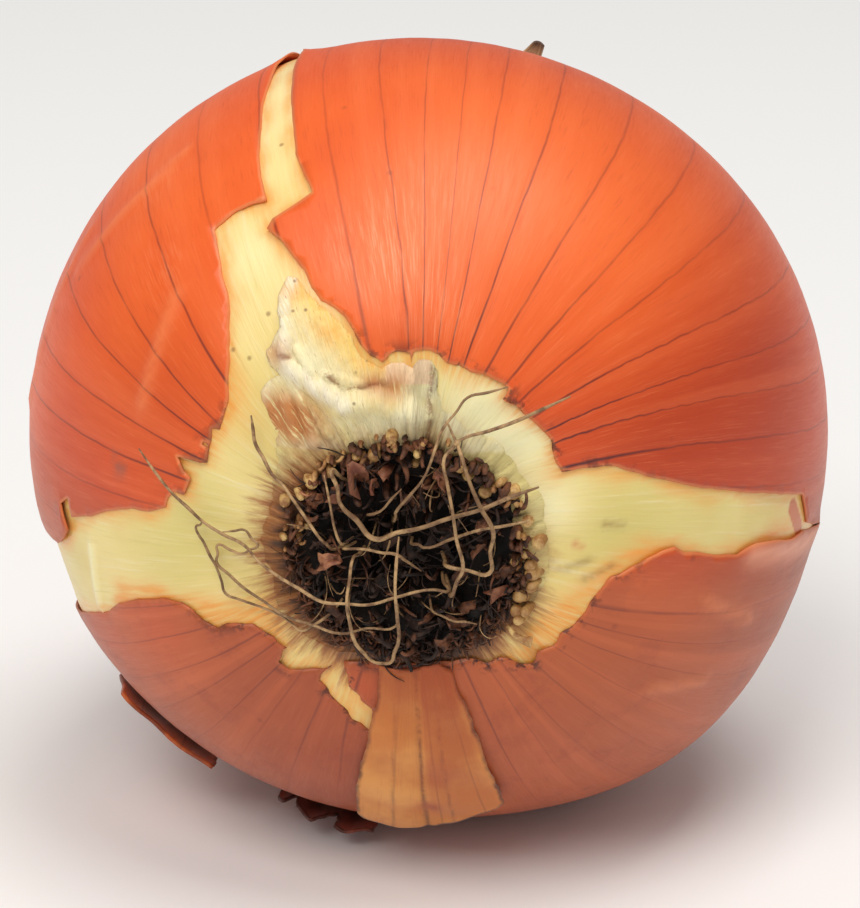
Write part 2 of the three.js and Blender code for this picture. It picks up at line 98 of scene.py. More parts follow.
for lamp_name, lamp_place, lamp_size, watts in LAMPS:
    bpy.ops.object.light_add(type="AREA", location=lamp_place)
    lamp = bpy.context.object
    lamp.name = lamp_name
    lamp.data.size = lamp_size
    lamp.data.energy = watts
    lamp.data.color = LAMP_COLOUR
    lamp.rotation_euler = (Vector(lamp_place) - LAMP_AIM).to_track_quat("Z", "Y").to_euler()

bpy.ops.mesh.primitive_plane_add(size=FLOOR_SIZE, location=(0, 0, 0))
floor = bpy.context.object
floor.name = "floor"
floor_material = bpy.data.materials.new("pale_floor")
floor_material.use_nodes = True
floor_shader = floor_material.node_tree.nodes["Principled BSDF"]
floor_shader.inputs["Base Color"].default_value = FLOOR_COLOUR
floor_shader.inputs["Roughness"].default_value = FLOOR_ROUGHNESS
floor.data.materials.append(floor_material)
print("lamps and floor set")

# %% [markdown]
# An onion grows in layers round one axis, so every layer here is drawn on one grown form. A point of it is
# named by its polar angle from the root pole, its bearing round the axis (clockwise from straight up, seen
# from the root end) and its lift off the pale flesh. The values are the same as the solid model's.

# %% The grown form
BULB_RADIUS = 39.5
BULB_HALF_LENGTH = 36.5
HEIGHT_RATIO = 0.985
AXIS_HEIGHT = 39.0
DIMPLE_DEPTH, DIMPLE_WIDTH = 5.0, 0.38
NECK_LENGTH, NECK_WIDTH = 26.0, 0.21
SHOULDER = (140, 23, 0.05)
FLAT_SIDE = (30, 40, -0.02)
NECK_BEND_START, NECK_RISE, NECK_SIDEWAYS = 30, 0.02, 0.004
SKIN_TOP = 0.9
POLE_MARGIN = 2e-3


def bell(distance, width):
    return np.exp(-(distance / width) ** 2)


def swell_at(bearing, lump):
    place, width, swell = lump
    turn = bearing - math.radians(place)
    away = np.arctan2(np.sin(turn), np.cos(turn))
    return swell * bell(away, math.radians(width))


def grown_point(polar, bearing):
    swelling = swell_at(bearing, SHOULDER) + swell_at(bearing, FLAT_SIDE)
    radius = BULB_RADIUS * np.sin(polar) * (1 + swelling * np.sin(polar) ** 2)
    dimple = DIMPLE_DEPTH * bell(polar, DIMPLE_WIDTH)
    neck = NECK_LENGTH * bell(math.pi - polar, NECK_WIDTH)
    return np.stack([
        radius * np.sin(bearing),
        -BULB_HALF_LENGTH * np.cos(polar) + dimple + neck,
        AXIS_HEIGHT + HEIGHT_RATIO * radius * np.cos(bearing),
    ], axis=-1)


def outward(polar, bearing):
    step = 1e-4
    along_polar = grown_point(polar + step, bearing) - grown_point(polar - step, bearing)
    along_bearing = grown_point(polar, bearing + step) - grown_point(polar, bearing - step)
    normal = np.cross(along_bearing, along_polar)
    return normal / np.linalg.norm(normal, axis=-1, keepdims=True)


def layer_point(polar, bearing, lift):
    polar = np.clip(np.asarray(polar, float), POLE_MARGIN, math.pi - POLE_MARGIN)
    bearing = np.asarray(bearing, float) + np.zeros_like(polar)
    lift = np.asarray(lift, float) + np.zeros_like(polar)
    point = grown_point(polar, bearing) + outward(polar, bearing) * lift[..., None]
    past = np.maximum(0, point[..., 1] - NECK_BEND_START)
    point[..., 2] += NECK_RISE * past ** 2
    point[..., 0] += NECK_SIDEWAYS * past ** 2
    point[..., 2] = np.maximum(point[..., 2], np.maximum(SKIN_TOP - lift, 0))
    return point


def map_point(across, up, lift):
    """A point [across, up] in millimetres along the bulb from its root pole."""
    return layer_point(np.hypot(across, up) / BULB_RADIUS, np.arctan2(across, up), lift)


bulb_length = grown_point(math.pi - NECK_WIDTH, 0)[1] - grown_point(0, 0)[1]
print("length of the bare bulb:", round(float(bulb_length), 1), "mm")

# %% [markdown]
# Thin dark veins run over the skin from the root to the neck. On this onion they don't leave the root quite
# straight, so each vein has two bearings, one near the root and one past the middle. Counting veins instead
# of degrees gives a coordinate that the materials can draw lines and fibres on.

# %% Vein coordinate
VEINS = [
    (4, 0.0), (8.2, 5.5), (11.5, 11), (16.2, 19.3), (22.8, 30.3), (29.7, 41), (36.3, 51.2), (43.5, 63),
    (50, 71), (54.5, 78), (63.5, 85.5), (74, 93), (86, 100), (108, 107.5), (114, 114), (119.5, 121.5),
    (125.8, 131), (134.5, 139.5), (143, 145.5), (148.5, 153.5), (157, 160.5), (166, 168), (174, 176),
    (183, 184), (197, 191), (206.5, 200), (216.5, 209.5), (223.5, 217.5), (230.5, 226), (236, 233.5),
    (244.5, 240.5), (252, 248), (260, 256), (268, 264), (277, 272), (286, 279.5), (293, 287),
    (298.5, 297.5), (303, 307), (312, 317.3), (323, 326.5), (336, 336), (350, 345.5), (360.8, 353.3),
]
VEIN_COUNT = len(VEINS)
SEAM_VEIN = 22
NEAR_POLAR, FAR_POLAR = math.radians(30), math.radians(75)


def vein_coordinate(polar, bearing):
    """Veins counted from the seam. The two bearings are blended in steps of a hundredth."""
    near = np.array([pair[0] for pair in VEINS])
    far = np.array([pair[1] for pair in VEINS])
    reached = np.clip((polar - NEAR_POLAR) / (1.5 * (FAR_POLAR - NEAR_POLAR)), -0.15, 1)
    part = reached * (2 - reached)
    turned = np.degrees(bearing) % 360
    values = np.empty_like(turned)
    for level in np.unique(np.round(part, 2)):
        here = np.abs(part - level) < 0.0051
        lines = near + (far - near) * level
        lines = np.concatenate([lines - 360, lines, lines + 360])
        counts = np.arange(-VEIN_COUNT, 2 * VEIN_COUNT)
        values[here] = np.interp(turned[here], lines, counts)
    return (values - SEAM_VEIN) % VEIN_COUNT


print(VEIN_COUNT, "veins")

# %% [markdown]
# Where the skin tore is the whole picture of this onion, so the torn edge is drawn as a list: points across
# and up along the bulb, once round the opening, clockwise from the tip of the tear over the top.

# %% Torn edges of the skin
TOP_TEAR_RIGHT_EDGE = [
    (-27.5, 73.5), (-21.1, 63), (-19.7, 57.3), (-17.2, 49.9), (-15, 44.2), (-13.8, 40.7), (-12.1, 37.7),
    (-10.7, 35.6), (-11.8, 34.7), (-13.2, 33.6), (-14.6, 32.5), (-15, 31.4), (-13.3, 30.2), (-11.9, 28.6),
    (-10.5, 27.3), (-9.5, 25.5), (-8.5, 24.2),
]
UPPER_RIGHT_EDGE = [
    (-7.1, 23.7), (-6, 22.8), (-5, 21.5), (-4.4, 20.2), (-3.4, 19.1), (-2.3, 18.6), (-1.8, 19.4),
    (-1, 19.6), (0.1, 19.3), (0.4, 18.6), (0.8, 19.4), (2.1, 19.5), (2.9, 19.4), (4.3, 18.4), (5.8, 17.8),
    (6.9, 17.3), (8.7, 16.6), (9.3, 16.1), (8.8, 15.2), (10.2, 14.5), (11.2, 13.7), (12.1, 12.4),
    (13.1, 11.1), (13.8, 10), (14.4, 8), (15.7, 8.2),
]
RIGHT_GAP_TOP_EDGE = [
    (17.3, 8.4), (19.5, 8.2), (21.4, 7.6), (23.2, 7), (26, 6), (29.4, 4.8), (34.6, 3.2), (40.2, 1.4),
    (45.9, -0.8), (46.6, -2.6), (48.2, -5.8), (52, -8.5), (55.5, -10.3),
]
LOWER_RIGHT_EDGE = [
    (52, -8.8), (47.6, -6.6), (43.2, -5.5), (39.4, -3.8), (36.5, -3.2), (35.1, -3.4), (34, -3.7),
    (31.5, -3), (28.8, -1.9), (27.1, -1.5), (26, -0.6), (24.4, -0.7), (22.5, -1.5), (20.9, -2.3),
    (19.4, -2.9), (18.3, -4.1),
    (17.4, -5.3), (16.9, -6.4), (15.8, -7.6), (14.6, -8.7), (13.6, -9.6), (12.2, -10.1), (11.6, -11.2),
    (10.1, -11.3), (8.7, -10.9), (7.6, -11.3), (6.2, -10.9), (4.7, -10.9), (2.2, -11.3), (-0.7, -11.9),
    (-3.5, -11.7), (-5.9, -11.9),
]
UNDER_WEDGE_EDGE = [
    (-5.5, -13.4), (-5.5, -14.5), (-4.6, -16.2), (-3.3, -16.9), (-2.7, -18.9), (-3.9, -19.7),
    (-5.3, -18.5), (-6.6, -16.8), (-7.7, -15.2), (-8.6, -14.1), (-8.2, -13.3), (-7.2, -12.3),
]
LOWER_LEFT_EDGE = [
    (-9, -12.6), (-11.1, -12.7), (-12, -12.1), (-11.7, -11.7), (-11.2, -10.4), (-12.3, -10), (-13.4, -9.1),
    (-14.7, -8.2), (-16.5, -8.6), (-18.4, -9.3), (-19.9, -9.1), (-21.1, -7.8), (-22.4, -7.4), (-24.5, -7.5),
    (-28.2, -9), (-31.4, -10.8), (-33.5, -13), (-38.8, -16.5), (-46, -22), (-53, -27.5),
]
LEFT_GAP_FAR_END = [(-61, -33), (-70, -30), (-64, -20), (-52, -11)]
LEFT_GAP_TOP_EDGE = [
    (-43, -8.5), (-40.1, -6.2), (-38.6, -4.4), (-39.3, -2.9), (-39.9, -1.6), (-38.5, -0.5), (-37.8, -2.5),
    (-34.2, -1.2), (-31.7, 0.3), (-28, 1.5), (-25.7, 1.8), (-23.6, 2.6), (-23.4, 3.8), (-22.6, 4.7),
    (-21.6, 4.5), (-20.8, 6.2), (-21.5, 6.9), (-22.2, 8.1),
]
UPPER_LEFT_EDGE = [
    (-20.7, 8), (-19.2, 8.1), (-19.2, 9.4), (-19.8, 10), (-19.1, 9.6), (-18.7, 11.3), (-17.8, 11.2),
    (-17.5, 12.2), (-17.1, 14.2), (-17.3, 16.5), (-17.3, 18.7), (-17.5, 20.6), (-17.7, 22.6),
    (-18.4, 24.7), (-19.3, 26.4), (-20.1, 28.4), (-20.9, 30.3), (-21.5, 31.3), (-20.2, 32.6),
    (-19.1, 33.5), (-17.4, 34.2), (-15.8, 34.6), (-17.4, 37.8), (-18.6, 40.9), (-19.6, 44.6),
    (-21.2, 49.3), (-22, 53.1), (-23.8, 59), (-24.4, 64.4),
]
OPENING = (
    TOP_TEAR_RIGHT_EDGE + UPPER_RIGHT_EDGE + RIGHT_GAP_TOP_EDGE + LOWER_RIGHT_EDGE + UNDER_WEDGE_EDGE
    + LOWER_LEFT_EDGE + LEFT_GAP_FAR_END + LEFT_GAP_TOP_EDGE + UPPER_LEFT_EDGE
)
print(len(OPENING), "points round the opening")

# %% [markdown]
# A drawn outline is too smooth for torn plant tissue. Each one is cut into short steps and shaken
# sideways by seeded noise, strongly where the tissue frays near the root and hardly on a long clean tear.

# %% Ragged outlines


def smooth_noise(count, wavelength, random):
    """Noise round a closed line, with a new value every `wavelength` steps."""
    knots = max(4, int(count / wavelength))
    values = random.uniform(-1, 1, knots)
    place = np.arange(count) * knots / count
    low = np.floor(place).astype(int)
    part = place - low
    part = part * part * (3 - 2 * part)
    return values[low % knots] * (1 - part) + values[(low + 1) % knots] * part


def ragged_outline(points, spacing, roughness, seed):
    """A closed outline in short steps. roughness is in millimetres: a number or a function of the points."""
    corners = np.array(points, float)
    following = np.roll(corners, -1, axis=0)
    steps = []
    for start, end in zip(corners, following):
        count = max(1, int(round(np.linalg.norm(end - start) / spacing)))
        steps.append(start + (end - start) * np.arange(count)[:, None] / count)
    line = np.concatenate(steps)
    tangent = np.roll(line, -1, axis=0) - np.roll(line, 1, axis=0)
    tangent /= np.linalg.norm(tangent, axis=1, keepdims=True) + 1e-9
    sideways = np.stack([tangent[:, 1], -tangent[:, 0]], axis=1)
    random = np.random.default_rng(seed)
    count = len(line)
    shake = smooth_noise(count, 2.2, random) + 0.8 * smooth_noise(count, 5, random)
    shake += 0.8 * smooth_noise(count, 13, random)
    amount = roughness(line) if callable(roughness) else roughness
    return line + sideways * (shake * amount)[:, None]


def inside(points, outline):
    """Which points lie inside a closed outline, by counting its crossings."""
    x, y = points[:, 0], points[:, 1]
    within = np.zeros(len(points), bool)
    for (x1, y1), (x2, y2) in zip(outline, np.roll(outline, -1, axis=0)):
        if y1 == y2:
            continue
        crosses = ((y1 > y) != (y2 > y)) & (x < (x2 - x1) * (y - y1) / (y2 - y1) + x1)
        within ^= crosses
    return within


BLOCK_OF_POINTS = 4000


def nearest_to(points, targets):
    """The distance from each point to its nearest target, and which target that is."""
    distance, index = np.empty(len(points)), np.empty(len(points), int)
    for begin in range(0, len(points), BLOCK_OF_POINTS):
        block = slice(begin, begin + BLOCK_OF_POINTS)
        gaps = np.linalg.norm(points[block][:, None, :] - targets[None, :, :], axis=2)
        distance[block], index[block] = gaps.min(axis=1), gaps.argmin(axis=1)
    return distance, index


def distance_to(points, targets):
    return nearest_to(points, targets)[0]


def skin_roughness(line):
    near_root = bell(np.maximum(np.hypot(line[:, 0], line[:, 1]) - 14, 0), 9)
    return 0.05 + 0.2 * near_root


opening_outline = ragged_outline(OPENING, 0.5, skin_roughness, 11)
print(len(opening_outline), "steps round the opening")

# %% [markdown]
# A torn sheet can't be shaped from a grid without stair steps on its edge. So the flat map of the sheet is
# filled with triangles that keep the outline as it is, and only then laid on the bulb. Blender's Delaunay
# routine does the filling.

# %% Sheets from outlines


def triangles_within(points, outlines, keep):
    """Triangles over the points. Every outline stays an edge, and keep(middles) says which ones remain."""
    every = [points] + [np.asarray(outline) for outline in outlines]
    sizes = np.cumsum([0] + [len(part) for part in every])
    edges = []
    for begin, end in zip(sizes[1:-1], sizes[2:]):
        edges += [(i, i + 1) for i in range(begin, end - 1)] + [(end - 1, begin)]
    plane = [Vector(point) for point in np.concatenate(every).tolist()]
    vertices, _, faces, _, _, _ = delaunay_2d_cdt(plane, edges, [], 0, 1e-5)
    vertices = np.array([tuple(vertex) for vertex in vertices])
    faces = np.array(faces)
    faces = faces[keep(vertices[faces].mean(axis=1))]
    used, faces = np.unique(faces, return_inverse=True)
    return vertices[used], faces.reshape(-1, 3)


def circle(reach, count):
    """Points round the root pole, clockwise. reach is one number, or one for each point."""
    bearings = 2 * math.pi * np.arange(count) / count
    return np.stack([reach * np.sin(bearings), reach * np.cos(bearings)], axis=1)


def jittered_grid(outline, spacing, seed):
    """Points inside an outline on a square grid, each a little off its place, so that no rows show."""
    random = np.random.default_rng(seed)
    low, high = outline.min(axis=0), outline.max(axis=0)
    grid = np.stack(np.meshgrid(
        np.arange(low[0], high[0], spacing),
        np.arange(low[1], high[1], spacing),
    ), axis=-1).reshape(-1, 2)
    grid = grid + random.uniform(-0.22, 0.22, grid.shape) * spacing
    grid = grid[inside(grid, outline)]
    return grid[distance_to(grid, outline) > 0.45 * spacing]


def add_mesh(name, points_mm, faces):
    mesh = bpy.data.meshes.new(name)
    mesh.from_pydata((np.asarray(points_mm) * MM).tolist(), [], [list(map(int, face)) for face in faces])
    mesh.update()
    piece = bpy.data.objects.new(name, mesh)
    scene.collection.objects.link(piece)
    mesh.shade_smooth()
    return piece


def set_attribute(piece, name, values):
    attribute = piece.data.attributes.new(name, "FLOAT", "POINT")
    attribute.data.foreach_set("value", np.asarray(values, np.float32))


def set_masks(piece, **masks):
    """Attributes from 0 to 1 that say where on the piece a colour or a stain shows."""
    for name, values in masks.items():
        set_attribute(piece, name, np.clip(values, 0, 1))


def face_out(piece):
    """Turns the faces so that they point away from the bulb."""
    mesh = piece.data
    face = mesh.polygons[len(mesh.polygons) // 2]
    middle = Vector((0, min(face.center.y, 30 * MM), AXIS_HEIGHT * MM))
    if face.normal.dot(face.center - middle) < 0:
        mesh.flip_normals()


def set_grain_map(piece, across, up):
    """A UV map that follows the growth: veins counted round the bulb, and tens of millimetres along it."""
    polar = np.hypot(across, up) / BULB_RADIUS
    counts = vein_coordinate(polar, np.arctan2(across, up))
    along = np.hypot(across, up) / 10
    mesh = piece.data
    corners = np.empty(len(mesh.loops), int)
    mesh.loops.foreach_get("vertex_index", corners)
    u, v = counts[corners], along[corners]
    triples = u.reshape(-1, 3)
    wraps = triples.max(axis=1) - triples.min(axis=1) > VEIN_COUNT / 2
    triples[wraps] += np.where(triples[wraps] < VEIN_COUNT / 2, VEIN_COUNT, 0)
    layer = mesh.uv_layers.new(name="grain")
    layer.data.foreach_set("uv", np.stack([triples.reshape(-1), v], axis=1).reshape(-1))
    girth = 2 * math.pi * BULB_RADIUS * np.sin(polar) / VEIN_COUNT
    set_attribute(piece, "vein_gap", np.maximum(girth, 0.3))


def apply_modifiers(piece):
    bpy.ops.object.select_all(action="DESELECT")
    piece.select_set(True)
    bpy.context.view_layer.objects.active = piece
    for modifier in list(piece.modifiers):
        bpy.ops.object.modifier_apply(modifier=modifier.name)
    piece.select_set(False)


def thicken(piece, thickness_mm, offset=-1):
    """Gives a sheet its thickness, on the inner side unless the offset says otherwise."""
    solidify = piece.modifiers.new("thickness", "SOLIDIFY")
    solidify.thickness = thickness_mm * MM
    solidify.offset = offset
    solidify.use_even_offset = False
    apply_modifiers(piece)


def settle(piece, node, material):
    """Puts a finished piece in the frame in place of a solid."""
    piece.data.materials.clear()
    piece.data.materials.append(material)
    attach(piece, "root")
    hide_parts(node)
    print(piece.name, len(piece.data.polygons), "faces")


# %% [markdown]
# Materials share a few effects: fine fibres along the growth, dark veins, specks, and grime. Each is a node
# group with its own inputs, so that a skin and an old leaf can use the same one with other values.

# %% Node helpers


def put(socket, value):
    """Links a socket to another one, or sets its value."""
    if isinstance(value, bpy.types.NodeSocket):
        socket.id_data.links.new(value, socket)
    elif isinstance(value, tuple) and len(value) == 3 and socket.type == "RGBA":
        socket.default_value = (*value, 1)
    else:
        socket.default_value = value


def node_of(tree, kind, inputs=None, **settings):
    node = tree.nodes.new(kind)
    for name, value in settings.items():
        setattr(node, name, value)
    for name, value in (inputs or {}).items():
        put(node.inputs[name], value)
    return node


def maths(tree, operation, a, b=0.0):
    node = node_of(tree, "ShaderNodeMath", operation=operation)
    put(node.inputs[0], a)
    put(node.inputs[1], b)
    return node.outputs[0]


def plus(tree, a, b):
    return maths(tree, "ADD", a, b)


def minus(tree, a, b):
    return maths(tree, "SUBTRACT", a, b)


def times(tree, a, b):
    return maths(tree, "MULTIPLY", a, b)


def ramp(tree, value, low, high, out_low=0.0, out_high=1.0):
    """Maps value from low..high to out_low..out_high, with soft ends."""
    inputs = {"Value": value, "From Min": low, "From Max": high, "To Min": out_low, "To Max": out_high}
    return node_of(tree, "ShaderNodeMapRange", inputs, interpolation_type="SMOOTHSTEP").outputs["Result"]


def mix(tree, factor, a, b):
    node = node_of(tree, "ShaderNodeMix", data_type="RGBA")
    put(node.inputs[0], factor)
    put(node.inputs[6], a)
    put(node.inputs[7], b)
    return node.outputs[2]


def noise(tree, vector, scale, detail=3.0, roughness=0.55):
    inputs = {"Vector": vector, "Scale": scale, "Detail": detail, "Roughness": roughness}
    return node_of(tree, "ShaderNodeTexNoise", inputs).outputs[0]


def stretched(tree, vector, scale):
    return node_of(tree, "ShaderNodeMapping", {"Vector": vector, "Scale": scale}).outputs[0]


def attribute(tree, name):
    return node_of(tree, "ShaderNodeAttribute", attribute_name=name).outputs["Fac"]


def srgb(red, green, blue):
    """A colour as seen on screen, from 0 to 255, in the linear values that shaders take."""
    parts = (red / 255, green / 255, blue / 255)
    return tuple(c / 12.92 if c <= 0.04045 else ((c + 0.055) / 1.055) ** 2.4 for c in parts)


def new_group(name, inputs, outputs):
    tree = bpy.data.node_groups.new(name, "ShaderNodeTree")
    for label, kind in inputs:
        tree.interface.new_socket(label, in_out="INPUT", socket_type="NodeSocket" + kind)
    for label, kind in outputs:
        tree.interface.new_socket(label, in_out="OUTPUT", socket_type="NodeSocket" + kind)
    return tree, tree.nodes.new("NodeGroupInput").outputs, tree.nodes.new("NodeGroupOutput").inputs


def use_group(tree, group, inputs):
    node = node_of(tree, "ShaderNodeGroup", node_tree=group)
    for name, value in inputs.items():
        put(node.inputs[name], value)
    return node.outputs


# %% Fibres group


def make_fibres_group():
    """Long fine streaks along the growth, from 0 to 1."""
    tree, given, result = new_group(
        "fibres",
        [("Grain", "Vector"), ("Fineness", "Float")],
        [("Streaks", "Float")],
    )
    fine = noise(tree, stretched(tree, given["Grain"], (1.0, 0.10, 1.0)), given["Fineness"], 4, 0.65)
    broad = noise(tree, stretched(tree, given["Grain"], (0.22, 0.05, 1.0)), given["Fineness"], 2, 0.5)
    put(result["Streaks"], plus(tree, times(tree, fine, 0.65), times(tree, broad, 0.35)))
    return tree


fibres_group = make_fibres_group()


def fibres(tree, grain, fineness):
    return use_group(tree, fibres_group, {"Grain": grain, "Fineness": fineness})["Streaks"]


# %% Veins group


def make_veins_group():
    """Thin lines at whole numbers of the grain coordinate, each with its own strength."""
    tree, given, result = new_group(
        "veins",
        [("Grain", "Vector"), ("Gap", "Float"), ("Width", "Float")],
        [("Line", "Float"), ("Shade", "Float")],
    )
    wander = noise(tree, stretched(tree, given["Grain"], (0.35, 0.5, 1.0)), 1.6, 3)
    parts = node_of(tree, "ShaderNodeSeparateXYZ", {"Vector": given["Grain"]}).outputs
    bent = plus(tree, parts[0], times(tree, minus(tree, wander, 0.5), 0.14))
    nearest = maths(tree, "ROUND", bent)
    away = times(tree, maths(tree, "ABSOLUTE", minus(tree, bent, nearest)), given["Gap"])
    index = maths(tree, "MODULO", nearest, float(VEIN_COUNT))
    own = node_of(tree, "ShaderNodeTexWhiteNoise", noise_dimensions="1D")
    put(own.inputs["W"], index)
    strength = ramp(tree, own.outputs["Value"], 0.0, 0.6, 0.55, 1.0)
    patchy = noise(tree, stretched(tree, given["Grain"], (1.0, 0.9, 1.0)), 2.2, 3)
    patchy = ramp(tree, patchy, 0.30, 0.55, 0.55, 1.0)
    near = ramp(tree, away, 0.0, given["Width"], 1.0, 0.0)
    wide = ramp(tree, away, 0.0, times(tree, given["Width"], 5.0), 1.0, 0.0)
    strong = times(tree, strength, patchy)
    put(result["Line"], times(tree, near, strong))
    put(result["Shade"], times(tree, wide, strong))
    return tree


veins_group = make_veins_group()

# %% Specks group


def make_specks_group():
    """Sparse small dark dots, from 0 to 1."""
    tree, given, result = new_group(
        "specks",
        [("Vector", "Vector"), ("Scale", "Float"), ("Amount", "Float")],
        [("Dots", "Float")],
    )
    cells = node_of(tree, "ShaderNodeTexVoronoi", {"Vector": given["Vector"], "Scale": given["Scale"]})
    lottery = node_of(tree, "ShaderNodeSeparateColor", {"Color": cells.outputs["Color"]}).outputs[0]
    chosen = maths(tree, "LESS_THAN", lottery, given["Amount"])
    dot = ramp(tree, cells.outputs["Distance"], 0.05, 0.22, 1.0, 0.0)
    put(result["Dots"], times(tree, dot, chosen))
    return tree


specks_group = make_specks_group()


def specks(tree, place, scale, amount):
    return use_group(tree, specks_group, {"Vector": place, "Scale": scale, "Amount": amount})["Dots"]


# %% Root stain group


def make_root_stain_group():
    """Brown and dark stains that run outward from the root in ragged rays."""
    tree, given, result = new_group(
        "root_stain",
        [("Grain", "Vector"), ("Along", "Float"), ("Strength", "Float")],
        [("Tan", "Float"), ("Dark", "Float")],
    )
    rays = noise(tree, stretched(tree, given["Grain"], (0.85, 0.5, 1.0)), 3.2, 6, 0.68)
    shift = times(tree, minus(tree, 0.5, rays), 10.0)
    reach = plus(tree, given["Along"], shift)
    held_back = times(tree, minus(tree, 1.0, given["Strength"]), 2.6)
    reach = plus(tree, reach, held_back)
    put(result["Tan"], ramp(tree, reach, 11.8, 16.0, 1.0, 0.0))
    put(result["Dark"], ramp(tree, reach, 10.2, 13.2, 1.0, 0.0))
    return tree


root_stain_group = make_root_stain_group()
print("groups:", [group.name for group in bpy.data.node_groups])


# %% Material starter


def new_material(name, roughness, **constants):
    material = bpy.data.materials.new(name)
    material.use_nodes = True
    tree = material.node_tree
    shader = tree.nodes["Principled BSDF"]
    shader.inputs["Roughness"].default_value = roughness
    for label, value in constants.items():
        shader.inputs[label.replace("_", " ")].default_value = value
    coordinates = tree.nodes.new("ShaderNodeTexCoord")
    grain = node_of(tree, "ShaderNodeUVMap", uv_map="grain").outputs[0]
    return material, tree, shader.inputs, coordinates.outputs["Object"], grain


def bump(tree, height, distance_mm, strength=1.0):
    inputs = {"Height": height, "Distance": distance_mm * MM, "Strength": strength}
    return node_of(tree, "ShaderNodeBump", inputs).outputs[0]


# %% [markdown]
# The papery skin is orange where light gets through it. Below it is painted duller, darker and pinker: partly
# the lower skin's own duller colour, partly painted shade of the underside. Its own fine fibres, the veins
# and a waxy haze at the rim make it skin and not plastic. The haze is the sheen of the shader.

# %% Skin material
SKIN_ORANGE = srgb(222, 80, 18)
SKIN_LIGHT_ORANGE = srgb(240, 100, 28)
# Underside colours: the lower skin's own duller colour with painted shade.
SKIN_DULL_SHADED = srgb(163, 74, 38)
SKIN_DULL_SHADED_PINK = srgb(180, 87, 44)
SKIN_DEEP = srgb(182, 58, 10)
SKIN_SUNLIT = srgb(255, 124, 50)
SKIN_BAND = srgb(255, 132, 76)
SKIN_MOTTLE = srgb(142, 52, 30)
SKIN_SPECK = srgb(110, 40, 22)
FIBRE_LIGHT = srgb(255, 150, 98)
FIBRE_DARK = srgb(160, 50, 20)
VEIN_SHADE = srgb(170, 50, 24)
VEIN_BROWN = srgb(132, 40, 14)
VEIN_NEAR_ROOT = srgb(70, 22, 28)
SHEEN_SCUFF_PALE = srgb(250, 160, 116)
CREASE_PALE = srgb(250, 150, 96)
BRUISE_GREY = srgb(120, 84, 74)
FLAP_PINK = srgb(236, 158, 124)
TORN_RIM = srgb(236, 150, 92)
BURNT_FRAY = srgb(66, 24, 16)
STRAW_BROWN = srgb(150, 92, 52)
STRAW_PALE = srgb(206, 158, 104)


def by_dullness(tree, bright, dull):
    """One value on the bright skin and another where it is painted dull and shaded below."""
    return ramp(tree, attribute(tree, "dull"), 0.0, 1.0, bright, dull)


def skin_base(tree, place, grain):
    """Orange skin, painted duller, darker and pinker below (duller skin and painted shade), with fine fibres
    and broad soft bands.
    """
    cloud = ramp(tree, noise(tree, place, 34, 3), 0.35, 0.65)
    bright = mix(tree, cloud, SKIN_ORANGE, SKIN_LIGHT_ORANGE)
    low = mix(tree, cloud, SKIN_DULL_SHADED, SKIN_DULL_SHADED_PINK)
    bright = mix(tree, attribute(tree, "deep"), bright, SKIN_DEEP)
    bright = mix(tree, attribute(tree, "sunlit"), bright, SKIN_SUNLIT)
    colour = mix(tree, attribute(tree, "dull"), bright, low)
    streaks = fibres(tree, grain, 30.0)
    near_root = ramp(tree, attribute(tree, "along_mm"), 18.0, 42.0, 1.0, 0.35)
    light_fibres = times(tree, ramp(tree, streaks, 0.50, 0.68, 0.0, 0.26), near_root)
    light_fibres = times(tree, light_fibres, by_dullness(tree, 1.0, 0.3))
    colour = mix(tree, light_fibres, colour, FIBRE_LIGHT)
    colour = mix(tree, ramp(tree, streaks, 0.48, 0.30, 0.0, 0.26), colour, FIBRE_DARK)
    mottle = times(tree, ramp(tree, noise(tree, place, 210, 5, 0.7), 0.50, 0.66), 0.3)
    colour = mix(tree, times(tree, mottle, attribute(tree, "dull")), colour, SKIN_MOTTLE)
    bands = noise(tree, stretched(tree, grain, (1.0, 0.05, 1.0)), 1.3, 2)
    colour = mix(tree, ramp(tree, bands, 0.45, 0.7, 0.0, 0.15), colour, SKIN_BAND)
    return colour, streaks


def skin_marks(tree, colour, place, grain, streaks, veins):
    """Veins, pale patches of painted sheen and scuffing, creases, specks and one grey scar."""
    along = attribute(tree, "along_mm")
    shade = times(tree, veins["Shade"], by_dullness(tree, 0.1, 0.02))
    colour = mix(tree, shade, colour, VEIN_SHADE)
    vein_colour = mix(tree, ramp(tree, along, 18.0, 34.0, 1.0, 0.0), VEIN_BROWN, VEIN_NEAR_ROOT)
    line = times(tree, veins["Line"], ramp(tree, along, 16.0, 60.0, 0.95, 0.5))
    line = times(tree, line, by_dullness(tree, 1.0, 0.5))
    colour = mix(tree, line, colour, vein_colour)
    # Pale streaks near the root: painted sheen on the lit skin, with scuffed fibres.
    pale = times(tree, attribute(tree, "frost"), ramp(tree, streaks, 0.46, 0.62, 0.0, 0.8))
    colour = mix(tree, pale, colour, SHEEN_SCUFF_PALE)
    colour = mix(tree, times(tree, attribute(tree, "fold"), 0.35), colour, CREASE_PALE)
    colour = mix(tree, attribute(tree, "bruise"), colour, BRUISE_GREY)
    colour = mix(tree, attribute(tree, "flap"), colour, FLAP_PINK)
    dots = specks(tree, place, 420.0, 0.03)
    return mix(tree, times(tree, dots, 0.4), colour, SKIN_SPECK)


